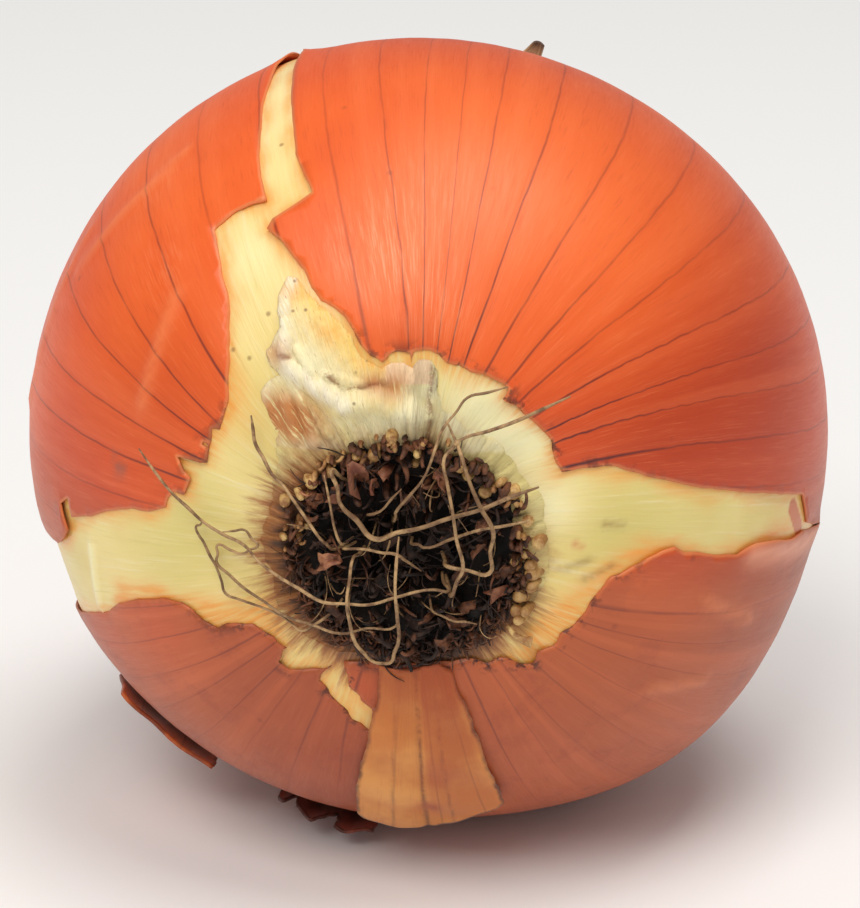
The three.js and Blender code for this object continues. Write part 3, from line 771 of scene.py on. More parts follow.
def skin_edges(tree, colour, place, streaks):
    """A thin pale torn rim, dark frays near the root and dry straw colour at the neck."""
    edge = attribute(tree, "edge_mm")
    rim = ramp(tree, edge, 0.45, 0.08, 0.0, 0.55)
    rim = times(tree, rim, ramp(tree, attribute(tree, "dull"), 0.2, 1.0, 1.0, 0.25))
    colour = mix(tree, rim, colour, TORN_RIM)
    frays = ramp(tree, noise(tree, place, 620, 4, 0.65), 0.50, 0.60)
    burnt = times(tree, ramp(tree, edge, 1.5, 0.15, 0.0, 1.0), attribute(tree, "burnt"))
    colour = mix(tree, times(tree, burnt, frays), colour, BURNT_FRAY)
    dry_colour = mix(tree, ramp(tree, streaks, 0.4, 0.62), STRAW_BROWN, STRAW_PALE)
    return mix(tree, attribute(tree, "dry"), colour, dry_colour)


def make_skin_material():
    material, tree, surface, place, grain = new_material(
        "papery_skin", 0.42, Sheen_Weight=0.08, Sheen_Roughness=0.35,
    )
    colour, streaks = skin_base(tree, place, grain)
    width = ramp(tree, attribute(tree, "along_mm"), 17.0, 30.0, 0.25, 0.17)
    width = times(tree, width, by_dullness(tree, 1.0, 0.75))
    gap = attribute(tree, "vein_gap")
    veins = use_group(tree, veins_group, {"Grain": grain, "Gap": gap, "Width": width})
    colour = skin_marks(tree, colour, place, grain, streaks, veins)
    put(surface["Base Color"], skin_edges(tree, colour, place, streaks))
    put(surface["Roughness"], ramp(tree, streaks, 0.3, 0.7, 0.50, 0.40))
    height = plus(tree, times(tree, streaks, 0.4), times(tree, veins["Shade"], -0.3))
    height = plus(tree, height, times(tree, noise(tree, place, 1100, 2), 0.10))
    put(surface["Normal"], bump(tree, height, 0.12, 0.5))
    return material


skin_material = make_skin_material()
print("skin material made")

# %% [markdown]
# The skin itself: rings of points over the whole bulb up to the neck, minus the opening. Near the torn edge
# it is pressed down towards the flesh and lifts only at the loose corners. Between the veins it bulges
# slightly.

# %% Skin relief
SKIN_VISIBLE_THICKNESS = 0.2
RING_COLUMNS = 200
RINGS_BEGIN, NEAR_RINGS_END = 8.6, 34
NEAR_RING_STEP, FAR_RING_STEP = 0.75, 1.25
RIM_CLEARANCE = 0.3
EDGE_REACH = 6
NECK_END_POLAR = math.pi - 0.127
SKIN_END = NECK_END_POLAR * BULB_RADIUS
LOOSE_CORNERS = [
    (-15, 31.4, 5, 0.35), (-10.7, 35.6, 4, 0.2), (-40, -4, 4, 0.5), (40, -4.2, 6, 0.75), (24.4, -0.7, 4, 0.3),
    (-21.1, -7.8, 5, 0.25), (-24.4, 64.4, 8, 0.7), (9.3, 16.1, 3, 0.3), (-21, 7, 3, 0.3), (-12, -12, 3, 0.3),
    (12, -10.6, 3, 0.3), (-53, -27.5, 6, 0.4), (54.5, -11, 2.4, 0.5),
]
FOLD_LINES = [
    ((-53.9, 6), (-45.8, 32.4)), ((-26.9, 12.5), (-24.2, 24.6)), ((-44, 26), (-30, 42)),
    ((30, -8), (37, -13)), ((24, -17), (31, -19)),
]
# Where the pale streaks of painted sheen and scuffing lie.
SHEEN_AND_SCUFF_PATCHES = [
    (1, 27, 3.4, 0.55), (3.5, 23, 2.6, 0.55), (-4, 30, 4, 0.5), (0, 35, 5, 0.3), (-27, 27, 3, 0.3),
    (-33, 37, 3, 0.25),
]
BRIGHT_LOW_PATCHES = [(26, -6, 6, 0.2), (-4.2, -14.5, 2.2, 0.25), (-26, -12, 6, 0.35), (-36, -19, 6, 0.3)]
DEEP_PATCHES = [
    (-24, 12, 11, 0.5), (-38, 4, 8, 0.3), (38, 12, 15, 1.0), (22, 9, 9, 0.6), (44, 36, 16, 0.5),
    (0, 20.5, 3, 0.5),
    (2, 66, 16, 0.35), (26, 58, 14, 0.4),
]
SUNLIT_PATCHES = [(2, 42, 15, 0.35), (14, 36, 14, 0.4), (-2, 30, 9, 0.2), (-34, 40, 14, 0.3)]
FLAP_LINES = [((36.5, -4.4), (43, -6.8)), ((43, -6.8), (53, -11))]
BRUISES = [(-29.5, 5.4, 0.7, 0.8), (-30.4, 6.4, 0.4, 0.6), (-41, -3, 0.8, 0.5)]


def patches(across, up, spots):
    total = np.zeros_like(across)
    for place_across, place_up, reach, strength in spots:
        total += strength * bell(np.hypot(across - place_across, up - place_up), reach)
    return total


def distance_to_line(across, up, start, end):
    start, end = np.array(start), np.array(end)
    way = end - start
    offset = np.stack([across, up], axis=1) - start
    part = np.clip(offset @ way / (way @ way), 0, 1)
    return np.linalg.norm(offset - part[:, None] * way, axis=1)


def line_mask(across, up, lines, width):
    mask = np.zeros_like(across)
    for start, end in lines:
        mask = np.maximum(mask, bell(distance_to_line(across, up, start, end), width))
    return mask


def body_relief(polar, bearing):
    """Soft unevenness that all the layers share, gone at the neck and where the onion rests."""
    counts = vein_coordinate(polar, bearing)
    ribs = 0.03 * np.abs(np.sin(np.pi * counts)) * np.sin(polar)
    waves = 0.22 * np.sin(2.3 * bearing + 2.1 * polar + 0.7) * np.sin(3.1 * polar + 1.3 * np.cos(bearing))
    from_below = np.arctan2(np.sin(bearing - math.pi), np.cos(bearing - math.pi))
    off_the_floor = 1 - bell(from_below, 0.5) * bell(polar - 1.6, 0.5)
    return (ribs + waves * np.sin(polar)) * off_the_floor


def edge_lift(points, outline, seed):
    """How far the torn edge moves at each point: a wavy amount down towards the flesh, with loose corners
    lifted.
    """
    random = np.random.default_rng(seed)
    along_edge = -0.14 + 0.06 * smooth_noise(len(outline), 14, random)
    near, nearest = nearest_to(points, outline)
    lift = np.where(near < EDGE_REACH, along_edge[nearest] * np.exp(-near / 1.2), 0)
    corners = patches(points[:, 0], points[:, 1], LOOSE_CORNERS)
    return lift + corners * np.exp(-near / 2.4), near


# %% Outer skin


def neck_folds(polar, bearing):
    near_neck = bell(np.minimum(polar - NECK_END_POLAR, 0), 0.42)
    return near_neck * (0.35 * np.sin(11 * bearing + 0.8) + 0.2 * np.sin(23 * bearing + 2))


def skin_points():
    """Rings of points over the bulb, closer together near the root, minus the opening."""
    reach, rings = RINGS_BEGIN, []
    while reach < SKIN_END - 0.6:
        rings.append(circle(reach, RING_COLUMNS))
        reach += NEAR_RING_STEP if reach < NEAR_RINGS_END else FAR_RING_STEP
    points = np.concatenate(rings)
    points = points[~inside(points, opening_outline)]
    points = points[distance_to(points, opening_outline) > RIM_CLEARANCE]
    return points[np.hypot(points[:, 0], points[:, 1]) < SKIN_END - 1.5]


def ragged_neck_rim():
    bearings = 2 * math.pi * np.arange(RING_COLUMNS) / RING_COLUMNS
    return circle(SKIN_END - 0.5 * (np.sin(9 * bearings) + 0.7 * np.sin(25 * bearings + 1) + 1), RING_COLUMNS)


def colour_skin(skin, across, up, edge, folds):
    """The attributes that the skin material reads."""
    reach, bearing = np.hypot(across, up), np.arctan2(across, up)
    set_attribute(skin, "edge_mm", edge)
    set_attribute(skin, "along_mm", reach)
    # Painted shade: the underside is coloured duller and darker, partly the lower skin's own duller colour.
    below = np.clip(-np.cos(bearing) * 2.6 + 0.35, 0, 1)
    set_masks(
        skin,
        dull=below - patches(across, up, BRIGHT_LOW_PATCHES),
        deep=patches(across, up, DEEP_PATCHES),
        sunlit=patches(across, up, SUNLIT_PATCHES),
        flap=0.85 * line_mask(across, up, FLAP_LINES, 1.5),
        bruise=patches(across, up, BRUISES),
        frost=patches(across, up, SHEEN_AND_SCUFF_PATCHES),
        fold=folds,
        burnt=bell(np.maximum(reach - 13, 0), 9),
        dry=(reach / BULB_RADIUS - 2.55) / 0.35,
    )


def make_outer_skin():
    neck_rim = ragged_neck_rim()

    def on_skin(middles):
        return ~inside(middles, opening_outline) & inside(middles, neck_rim)

    flat, faces = triangles_within(skin_points(), [opening_outline, neck_rim], on_skin)
    across, up = flat[:, 0], flat[:, 1]
    polar, bearing = np.hypot(across, up) / BULB_RADIUS, np.arctan2(across, up)
    lifted, edge = edge_lift(flat, opening_outline, 5)
    folds = line_mask(across, up, FOLD_LINES, 0.7)
    lift = SKIN_TOP + body_relief(polar, bearing) + lifted + 0.25 * folds + neck_folds(polar, bearing)
    skin = add_mesh("skin", layer_point(polar, bearing, lift), faces)
    face_out(skin)
    set_grain_map(skin, across, up)
    colour_skin(skin, across, up, edge, folds)
    thicken(skin, SKIN_VISIBLE_THICKNESS)
    settle(skin, "outer_skin", skin_material)


make_outer_skin()

# %% [markdown]
# Under the skin is the pale flesh. It is moist and lets light in, so it gets some subsurface scattering,
# faint greenish lines along the growth, an orange tint where skin dye rubbed off along the tear, and grime
# at the root.

# %% Flesh material
FLESH_CREAM = srgb(232, 207, 125)
FLESH_LIGHT = srgb(246, 225, 152)
FLESH_GREEN = srgb(209, 195, 108)
FLESH_PAINTED_LIGHT = srgb(255, 232, 168)
FLESH_PALE_AND_HIGHLIGHT = srgb(255, 246, 194)
FLESH_FIBRE = srgb(250, 243, 208)
FLESH_FURROW = srgb(202, 190, 104)
FLESH_SPECK = srgb(120, 80, 40)
SKIN_DYE = srgb(242, 164, 70)
SCRATCH_BROWN = srgb(150, 112, 54)
MARK_RED = srgb(206, 84, 44)
BAR_BROWN = srgb(204, 100, 6)
STAIN_TAN = srgb(172, 108, 54)
STAIN_DARK = srgb(58, 34, 20)


def stained(tree, colour, grain):
    """Tan and dark root stains over a colour."""
    strength = attribute(tree, "staining")
    given = {"Grain": grain, "Along": attribute(tree, "along_mm"), "Strength": strength}
    stain = use_group(tree, root_stain_group, given)
    tan = times(tree, stain["Tan"], strength)
    colour = mix(tree, tan, colour, STAIN_TAN)
    return mix(tree, times(tree, stain["Dark"], 0.95), colour, STAIN_DARK)


def make_flesh_material():
    material, tree, surface, place, grain = new_material(
        "flesh", 0.36, Subsurface_Weight=0.2, Subsurface_Scale=0.003,
        Coat_Weight=0.2, Coat_Roughness=0.22,
    )
    surface["Subsurface Radius"].default_value = (1.0, 0.7, 0.3)
    cloud = noise(tree, place, 60, 3)
    colour = mix(tree, ramp(tree, cloud, 0.35, 0.65), FLESH_CREAM, FLESH_LIGHT)
    colour = mix(tree, attribute(tree, "green"), colour, FLESH_GREEN)
    # Painted light: the flesh is made brighter where the lamps fall on it.
    colour = mix(tree, attribute(tree, "sunny"), colour, FLESH_PAINTED_LIGHT)
    # Pale blisters, partly painted highlight, and painted white highlights on the wet flesh.
    colour = mix(tree, attribute(tree, "pale"), colour, FLESH_PALE_AND_HIGHLIGHT)
    streaks = fibres(tree, grain, 9.0)
    colour = mix(tree, ramp(tree, streaks, 0.5, 0.7, 0.0, 0.4), colour, FLESH_FIBRE)
    colour = mix(tree, ramp(tree, streaks, 0.46, 0.3, 0.0, 0.4), colour, FLESH_FURROW)
    ragged = ramp(tree, noise(tree, stretched(tree, grain, (1.4, 0.5, 1.0)), 4.0, 4), 0.3, 0.65, 0.4, 1.0)
    colour = mix(tree, times(tree, attribute(tree, "dyed"), ragged), colour, SKIN_DYE)
    colour = mix(tree, times(tree, attribute(tree, "scratched"), ragged), colour, SCRATCH_BROWN)
    colour = mix(tree, attribute(tree, "red"), colour, MARK_RED)
    colour = mix(tree, ramp(tree, attribute(tree, "bar"), 0.3, 0.6), colour, BAR_BROWN)
    dots = specks(tree, place, 620.0, 0.05)
    colour = mix(tree, times(tree, dots, 0.6), colour, FLESH_SPECK)
    put(surface["Base Color"], stained(tree, colour, grain))
    put(surface["Normal"], bump(tree, streaks, 0.2, 0.7))
    return material


flesh_material = make_flesh_material()

# %% Bulb
FLESH_LIFT = 0.66
BULB_SEGMENTS, BULB_RINGS = 280, 190


def staining_at(bearing):
    """The root stains are strong at the left and below, weak at the top and the upper right."""
    right = bell(np.arctan2(np.sin(bearing - 0.9), np.cos(bearing - 0.9)), 1.0)
    top = 0.85 * bell(np.arctan2(np.sin(bearing + 0.15), np.cos(bearing + 0.15)), 0.6)
    return 1.15 - 0.9 * np.maximum(right, top)


BULB_NECK_END = math.pi - 0.22
DYED_SPOTS = [(-16, 13, 2.5, 0.4), (43, -5.5, 3, 0.8), (14, -9, 3, 0.6)]
# Painted light on the flesh: the lit upper right by the root and the top tear.
PAINTED_LIGHT_SPOTS = [(9.5, 12.5, 5.5, 1.0), (-17, 26, 7, 0.6), (12.5, 5, 3, 0.6)]
# Painted highlights: white spots on the wet flesh by the rim.
HIGHLIGHT_SPOTS = [(6.5, 14.5, 3.2, 0.9), (10.6, 11.4, 3.4, 0.9), (13.4, 4.6, 2.6, 0.7), (-16.5, 29, 3, 0.4)]
SHRUNK_SIDE = (-52, -15, 8, 1.0)
GREEN_SPOTS = [(20, 2, 6, 0.7), (30, 0, 7, 0.4), (-24, -3, 6, 0.5), (-40, -8, 7, 0.3), (-20, 3, 5, 0.5)]
RUBBED_LINES = [((12.6, -9.4), (16.4, -5.4)), ((16.4, -5.4), (22, -1.2)), ((-30, -9.2), (-13, -7.2))]
SCRATCHES = [((14.8, -1.8), (17.2, -0.9)), ((16.6, -3.0), (19.6, -1.6)), ((18.6, 2.6), (20.4, 2.3))]
RED_MARKS = [((15.7, 0.8), (16.2, 0.4))]
BROWN_BAR = [((43.9, -1.6), (46.4, -6.0))]
BLISTER_LINE = ((-34.8, -4.7), (-35.3, -13.6))


def root_sink(reach):
    """How far the flesh is sunk under the roots."""
    return 4.4 * bell(reach, 7.8)


def colour_bulb(bulb, across, up, blister):
    """The attributes that the flesh material reads."""
    edge = distance_to(np.stack([across, up], axis=1), opening_outline)
    uneven = 1 + 0.5 * np.sin(across * 0.9) * np.sin(up * 0.7)
    tint = 0.9 * bell(edge, 1.1 * uneven) + patches(across, up, DYED_SPOTS)
    # Painted light along the lit top tear.
    lit_tear = bell(up - 52, 16) * bell(across + 19, 14)
    set_attribute(bulb, "along_mm", np.hypot(across, up))
    set_attribute(bulb, "staining", staining_at(np.arctan2(across, up)))
    set_masks(
        bulb,
        dyed=tint + line_mask(across, up, RUBBED_LINES, 1.8),
        pale=0.8 * blister + patches(across, up, HIGHLIGHT_SPOTS),
        green=patches(across, up, GREEN_SPOTS),
        sunny=lit_tear + patches(across, up, PAINTED_LIGHT_SPOTS),
        scratched=0.6 * line_mask(across, up, SCRATCHES, 0.4),
        red=0.5 * line_mask(across, up, RED_MARKS, 0.35),
        bar=line_mask(across, up, BROWN_BAR, 1.0),
    )


def make_bulb():
    """A sphere whose points are moved to the grown form: its poles become the root and the neck."""
    bpy.ops.mesh.primitive_uv_sphere_add(
        segments=BULB_SEGMENTS, ring_count=BULB_RINGS, radius=1, location=(0, 0, 0),
    )
    bulb = bpy.context.object
    bulb.name = "bulb_flesh"
    mesh = bulb.data
    points = np.empty(len(mesh.vertices) * 3)
    mesh.vertices.foreach_get("co", points)
    points = points.reshape(-1, 3)
    polar = np.arccos(np.clip(points[:, 2], -1, 1)) * BULB_NECK_END / math.pi
    bearing = np.arctan2(points[:, 0], points[:, 1])
    across, up = polar * BULB_RADIUS * np.sin(bearing), polar * BULB_RADIUS * np.cos(bearing)
    blister = bell(distance_to_line(across, up, *BLISTER_LINE), 0.55)
    lift = FLESH_LIFT + body_relief(polar, bearing) - 0.9 * bell(math.pi - 0.3 - polar, 0.2)
    lift += 0.3 * blister - root_sink(polar * BULB_RADIUS) - patches(across, up, [SHRUNK_SIDE])
    mesh.vertices.foreach_set("co", (layer_point(polar, bearing, lift) * MM).reshape(-1))
    bpy.ops.object.mode_set(mode="EDIT")
    bpy.ops.mesh.select_all(action="SELECT")
    bpy.ops.mesh.quads_convert_to_tris()
    bpy.ops.mesh.normals_make_consistent(inside=False)
    bpy.ops.object.mode_set(mode="OBJECT")
    mesh.shade_smooth()
    mesh.uv_layers.remove(mesh.uv_layers[0])
    set_grain_map(bulb, across, up)
    colour_bulb(bulb, across, up, blister)
    settle(bulb, "bulb", flesh_material)


make_bulb()

# %% [markdown]
# Round the root plate sits what is left of an inner scale: half dry, cream and fibrous, with one broad
# ragged part at the upper left and a low rim elsewhere. It is a torn sheet again, laid higher and rougher.

# %% Torn scale outline and folds
UPPER_SCALE_EDGE = [
    (-13.7, 15.2), (-12.9, 16.4), (-11.7, 16.8), (-12.9, 17.8), (-13.3, 19.2), (-12.7, 20.3), (-12, 21.3),
    (-12.5, 23.2), (-12.8, 24.6), (-11.9, 26.5), (-11, 26.2), (-10, 25.1), (-8.9, 23.7), (-7.5, 23.1),
    (-6.3, 22.2), (-5.3, 20.8), (-4.7, 19.4), (-3.6, 18.6), (-2.3, 17.9), (-1.5, 18.5), (-0.2, 18.6),
    (0.5, 17.9), (1.2, 18.7), (2.3, 18.8), (2.8, 17.7), (2.6, 16.2),
]
LOW_SCALE_RIM = [
    (14, 14.4), (24, 13.4), (38, 13.9), (52, 13.2), (68, 13.8), (84, 13), (100, 13.6), (116, 12.7),
    (132, 12.3), (146, 11.7), (160, 11.3), (176, 11.2), (190, 11.4), (202, 12), (212, 12.6), (224, 13.4),
    (240, 13.9), (256, 13.2), (272, 14), (288, 13.3), (304, 14.6), (312, 16.2),
]
SCALE_INNER, SCALE_THICKNESS = 9.2, 0.22
SCALE_RIDGES = [
    ((-11.7, 26.4), (-12.2, 24.2), 0.38, 0.6), ((-12.2, 24.2), (-11.9, 21.6), 0.42, 0.9),
    ((-11.9, 21.6), (-11.3, 18.2), 0.6, 0.8), ((-11.3, 18), (-8.2, 15.9), 0.7, 0.8),
    ((-8.2, 15.9), (-5.7, 14.3), 0.8, 1.0), ((-5.7, 14.3), (-2.8, 14.8), 1.0, 1.3),
    ((-2.8, 14.8), (1.3, 13.6), 1.0, 1.3), ((-9.8, 15), (-8.3, 10.6), 0.4, 0.6),
    ((-11.2, 14.6), (-10.2, 10.8), 0.4, 0.5), ((-13.4, 15.4), (-12, 9.5), 0.35, 0.4),
    ((-2, 16.7), (-1.9, 18.4), 0.22, 0.3), ((0.35, 16.6), (0.4, 18.2), 0.22, 0.35),
    ((-10.4, 19.5), (-8.6, 17), 0.3, 0.5), ((-7.6, 17.2), (-4, 16.3), 0.3, 0.45),
    ((-9, 14.6), (-7.2, 11.4), 0.3, 0.5),
]
MEMBRANE_LINES = [((-10.6, 25.4), (-6.8, 21.8)), ((-6.8, 21.8), (-3.6, 18.4))]
BROWN_LINES = [
    ((2.5, 18.7), (2.1, 15.8)), ((2.1, 15.8), (2.1, 10.8)), ((-13.1, 19.3), (-11.1, 18.6)),
    ((-7.6, 17.4), (-5.7, 15.9)), ((-5.7, 15.9), (-3, 16.4)), ((-3, 16.4), (-2, 16.6)),
]
TAN_PATCHES = [
    (-10, 12.6, 2.4, 1.2), (-12.6, 13.5, 2, 0.8), (-1.2, 16.2, 1.4, 0.9), (-12.4, 19, 1.4, 0.7),
    (-3.2, 16.6, 1.0, 0.8), (-12.5, 3, 2.4, 0.7), (-12.8, -3, 2.2, 0.7),
]
WHITE_LINES = [
    ((-11.7, 26.6), (-12.2, 22.4)), ((-12.2, 22.4), (-11.4, 18.5)), ((-11.2, 17.6), (-5.7, 14.4)),
]

# %% Torn scale material
SCALE_CREAM = srgb(250, 234, 166)
SCALE_LIGHT = srgb(255, 246, 200)
SCALE_FURROW = srgb(230, 190, 118)
SCALE_FIBRE = srgb(252, 244, 216)
SCALE_PINK = srgb(255, 216, 178)
SCALE_LOW = srgb(236, 220, 142)
SCALE_SPECK = srgb(92, 46, 24)
MEMBRANE_GOLD = srgb(255, 172, 52)
MEMBRANE_LIGHT = srgb(255, 212, 112)
RIDGE_WHITE = srgb(255, 248, 224)
DRIED_TAN = srgb(208, 134, 74)
CRACK_BROWN = srgb(140, 70, 30)
FLECK_BROWN = srgb(168, 100, 54)


def make_scale_material():
    material, tree, surface, place, grain = new_material(
        "dry_scale", 0.5, Coat_Weight=0.1, Coat_Roughness=0.3,
    )
    cloud = noise(tree, place, 260, 4, 0.6)
    colour = mix(tree, ramp(tree, cloud, 0.35, 0.65), SCALE_CREAM, SCALE_LIGHT)
    streaks = fibres(tree, grain, 24.0)
    colour = mix(tree, ramp(tree, streaks, 0.46, 0.30, 0.0, 0.4), colour, SCALE_FURROW)
    colour = mix(tree, ramp(tree, streaks, 0.52, 0.68, 0.0, 0.6), colour, SCALE_FIBRE)
    membrane = times(tree, attribute(tree, "membrane"), ramp(tree, streaks, 0.36, 0.6, 1.0, 0.75))
    blotchy = ramp(tree, cloud, 0.36, 0.64)
    colour = mix(tree, membrane, colour, mix(tree, blotchy, MEMBRANE_GOLD, MEMBRANE_LIGHT))
    white = times(tree, attribute(tree, "white"), ramp(tree, streaks, 0.36, 0.56, 0.35, 0.95))
    colour = mix(tree, white, colour, RIDGE_WHITE)
    colour = mix(tree, attribute(tree, "pink"), colour, SCALE_PINK)
    colour = mix(tree, times(tree, attribute(tree, "low"), 0.8), colour, SCALE_LOW)
    dried = ramp(tree, noise(tree, stretched(tree, grain, (4.0, 1.0, 1.0)), 3.0, 4, 0.6), 0.30, 0.48)
    colour = mix(tree, times(tree, attribute(tree, "tan"), dried), colour, DRIED_TAN)
    cracked = ramp(tree, noise(tree, place, 700, 4, 0.7), 0.42, 0.56)
    colour = mix(tree, times(tree, attribute(tree, "brown_line"), cracked), colour, CRACK_BROWN)
    flecks = noise(tree, stretched(tree, grain, (7.0, 1.6, 1.0)), 4.0, 5, 0.7)
    colour = mix(tree, ramp(tree, flecks, 0.60, 0.67, 0.0, 0.6), colour, FLECK_BROWN)
    dots = specks(tree, place, 850.0, 0.12)
    colour = mix(tree, times(tree, dots, 0.7), colour, SCALE_SPECK)
    put(surface["Base Color"], stained(tree, colour, grain))
    height = plus(tree, streaks, times(tree, cloud, 0.5))
    put(surface["Normal"], bump(tree, height, 0.45, 0.9))
    return material


scale_material = make_scale_material()

# %% Torn scale sheet


def scale_relief(across, up):
    reach, bearing = np.hypot(across, up), np.arctan2(across, up)
    lift = np.zeros_like(across)
    for start, end, width, height in SCALE_RIDGES:
        lift = np.maximum(lift, height * bell(distance_to_line(across, up, start, end), width))
    folds = bell(np.maximum(np.abs(reach - 12.4) - 1.2, 0), 0.8)
    wander = 0.5 * np.sin(5 * bearing) + 0.25 * reach
    broad, narrow = np.abs(np.sin(21 * bearing + wander)), np.abs(np.sin(38 * bearing - wander))
    lift += folds * (0.30 * broad + 0.16 * narrow)
    return lift + 0.06 * np.sin(3.1 * across) * np.sin(2.7 * up) + 0.2 * bell(reach - 11.6, 1.0)


def scale_outline():
    """The drawn upper edge and the low rim, which is given by bearing and reach."""
    rim = []
    for degrees, reach in LOW_SCALE_RIM:
        bearing = math.radians(degrees)
        rim.append((reach * math.sin(bearing), reach * math.cos(bearing)))
    return ragged_outline(UPPER_SCALE_EDGE + rim, spacing=0.35, roughness=0.14, seed=21)


def colour_scale(scale, across, up, upper):
    """The attributes that the scale material reads. upper is 1 on the broad part and 0 on the low rim."""
    set_attribute(scale, "along_mm", np.hypot(across, up))
    set_attribute(scale, "staining", staining_at(np.arctan2(across, up)))
    set_masks(
        scale,
        membrane=line_mask(across, up, MEMBRANE_LINES, 2.5),
        low=(up <= 10) * (1 - upper),
        brown_line=0.8 * line_mask(across, up, BROWN_LINES, 0.25),
        pink=0.8 * ((across > -2) & (across < 2.2) & (up > 16.6)),
        tan=patches(across, up, TAN_PATCHES),
        white=np.minimum(line_mask(across, up, WHITE_LINES, 0.7), 0.85),
    )


def make_torn_scale():
    outline = scale_outline()
    hole = circle(SCALE_INNER, 120)
    points = jittered_grid(outline, spacing=0.3, seed=3)
    points = points[np.hypot(points[:, 0], points[:, 1]) > SCALE_INNER + 0.2]

    def on_scale(middles):
        return inside(middles, outline) & ~inside(middles, hole)

    flat, faces = triangles_within(points, [outline, hole], on_scale)
    across, up = flat[:, 0], flat[:, 1]
    reach = np.hypot(across, up)
    edge = distance_to(flat, outline)
    upper = np.clip((up + across * 0.3 - 10) / 3, 0, 1) * (across < 2.9)
    broad_part, low_rim = 0.3 * np.clip(edge / 1.2, 0, 1) - 0.05, 0.4 * np.clip(edge / 2, 0, 1) - 0.3
    stands = upper * broad_part + (1 - upper) * low_rim
    polar, bearing = reach / BULB_RADIUS, np.arctan2(across, up)
    lift = FLESH_LIFT + body_relief(polar, bearing) + stands - root_sink(reach)
    lift += scale_relief(across, up) * np.clip(0.2 + edge / 1.2, 0, 1)
    scale = add_mesh("torn_scale_sheet", map_point(across, up, lift), faces)
    face_out(scale)
    set_grain_map(scale, across, up)
    colour_scale(scale, across, up, upper)
    thicken(scale, SCALE_THICKNESS)
    settle(scale, "torn_scale", scale_material)


make_torn_scale()

# %% [markdown]
# Pieces of older skin still cling on: a long golden strip over the front, a remnant at the lower left and a
# dark jagged scrap under the bulb. The scrap is dark old skin with painted shadow, darkest towards the bulb
# above it. They are brittle and matt, brown along the edges.

# %% Old skin material


def make_old_skin_material(name, pale, deep, edge_colour, stain_colour):
    material, tree, surface, place, grain = new_material(name, 0.5, Sheen_Weight=0.15, Sheen_Roughness=0.4)
    cloud = noise(tree, place, 95, 4)
    colour = mix(tree, ramp(tree, cloud, 0.36, 0.64), pale, deep)
    streaks = fibres(tree, grain, 20.0)
    colour = mix(tree, ramp(tree, streaks, 0.48, 0.30, 0.0, 0.3), colour, stain_colour)
    lines = use_group(tree, veins_group, {"Grain": grain, "Gap": attribute(tree, "vein_gap"), "Width": 0.17})
    colour = mix(tree, times(tree, lines["Line"], 0.4), colour, edge_colour)
    ribs = attribute(tree, "groove")
    colour = mix(tree, times(tree, ribs, 0.8), colour, edge_colour)
    rim = ramp(tree, attribute(tree, "edge_mm"), 0.5, 0.08, 0.0, 0.9)
    rim = times(tree, rim, ramp(tree, noise(tree, place, 240, 3), 0.34, 0.56, 0.35, 1.0))
    colour = mix(tree, rim, colour, edge_colour)
    stain = times(tree, attribute(tree, "stain"), ramp(tree, cloud, 0.3, 0.6, 0.4, 1.0))
    colour = mix(tree, stain, colour, stain_colour)
    put(surface["Base Color"], colour)
    height = plus(tree, streaks, times(tree, lines["Shade"], 0.4))
    put(surface["Normal"], bump(tree, height, 0.2, 0.6))
    return material


golden_material = make_old_skin_material(
    "old_skin",
    pale=srgb(228, 156, 76),
    deep=srgb(206, 122, 48),
    edge_colour=srgb(92, 40, 14),
    stain_colour=srgb(168, 74, 26),
)
remnant_material = make_old_skin_material(
    "remnant_skin",
    pale=srgb(232, 124, 60),
    deep=srgb(206, 94, 40),
    edge_colour=srgb(122, 48, 18),
    stain_colour=srgb(150, 62, 24),
)
# Dark old skin; its darker colours are partly painted shadow under the bulb.
scrap_shaded_material = make_old_skin_material(
    "dark_scrap",
    pale=srgb(168, 78, 50),
    deep=srgb(122, 48, 30),
    edge_colour=srgb(66, 26, 16),
    stain_colour=srgb(66, 26, 16),
)

# %% Old skin sheets
STRIP_OUTLINE = [
    (-2.5, -12), (-2.9, -15.2), (-3.4, -17.8), (-4, -20.8), (-4.8, -24.8), (-5.4, -28.5), (-5.8, -31.5),
    (-6, -34.5), (-5.6, -36.6), (-4.6, -37.6), (-3.2, -38), (-1.2, -38.6), (0.4, -38.6), (2.0, -37.6),
    (3.8, -36.2), (5.2, -35.2), (6.8, -34.2), (8.8, -32.4), (9.5, -31.2), (9.0, -29.0), (8.2, -26),
    (7.4, -23), (6.6, -20), (5.8, -17), (5.0, -14.4), (4.4, -12.4), (3.2, -11.4), (0.8, -12.2),
]
REMNANT_OUTLINE = [
    (-25.6, -39.2), (-28, -38.4), (-31, -36.8), (-33.4, -34.6), (-35.4, -32.4), (-37.2, -30.2),
    (-39.6, -32.4), (-42.6, -34.8), (-44.4, -36.6), (-43, -39.2), (-41, -41.5), (-38.4, -44), (-36, -46),
    (-33, -46.4), (-30, -46.6), (-27.6, -43),
]
SCRAP_OUTLINE = [
    (-5.4, -50), (-5.2, -43.4), (-7.4, -42.2), (-9.7, -42.4), (-10.3, -45.6), (-11.2, -44.2), (-12.6, -42.4),
    (-13.8, -43.2), (-15.3, -43.4), (-15.9, -46), (-16.8, -43.4), (-17.9, -44.2), (-18.6, -46.6),
    (-15.6, -48.6), (-12.6, -49.4), (-9.5, -50.3),
]


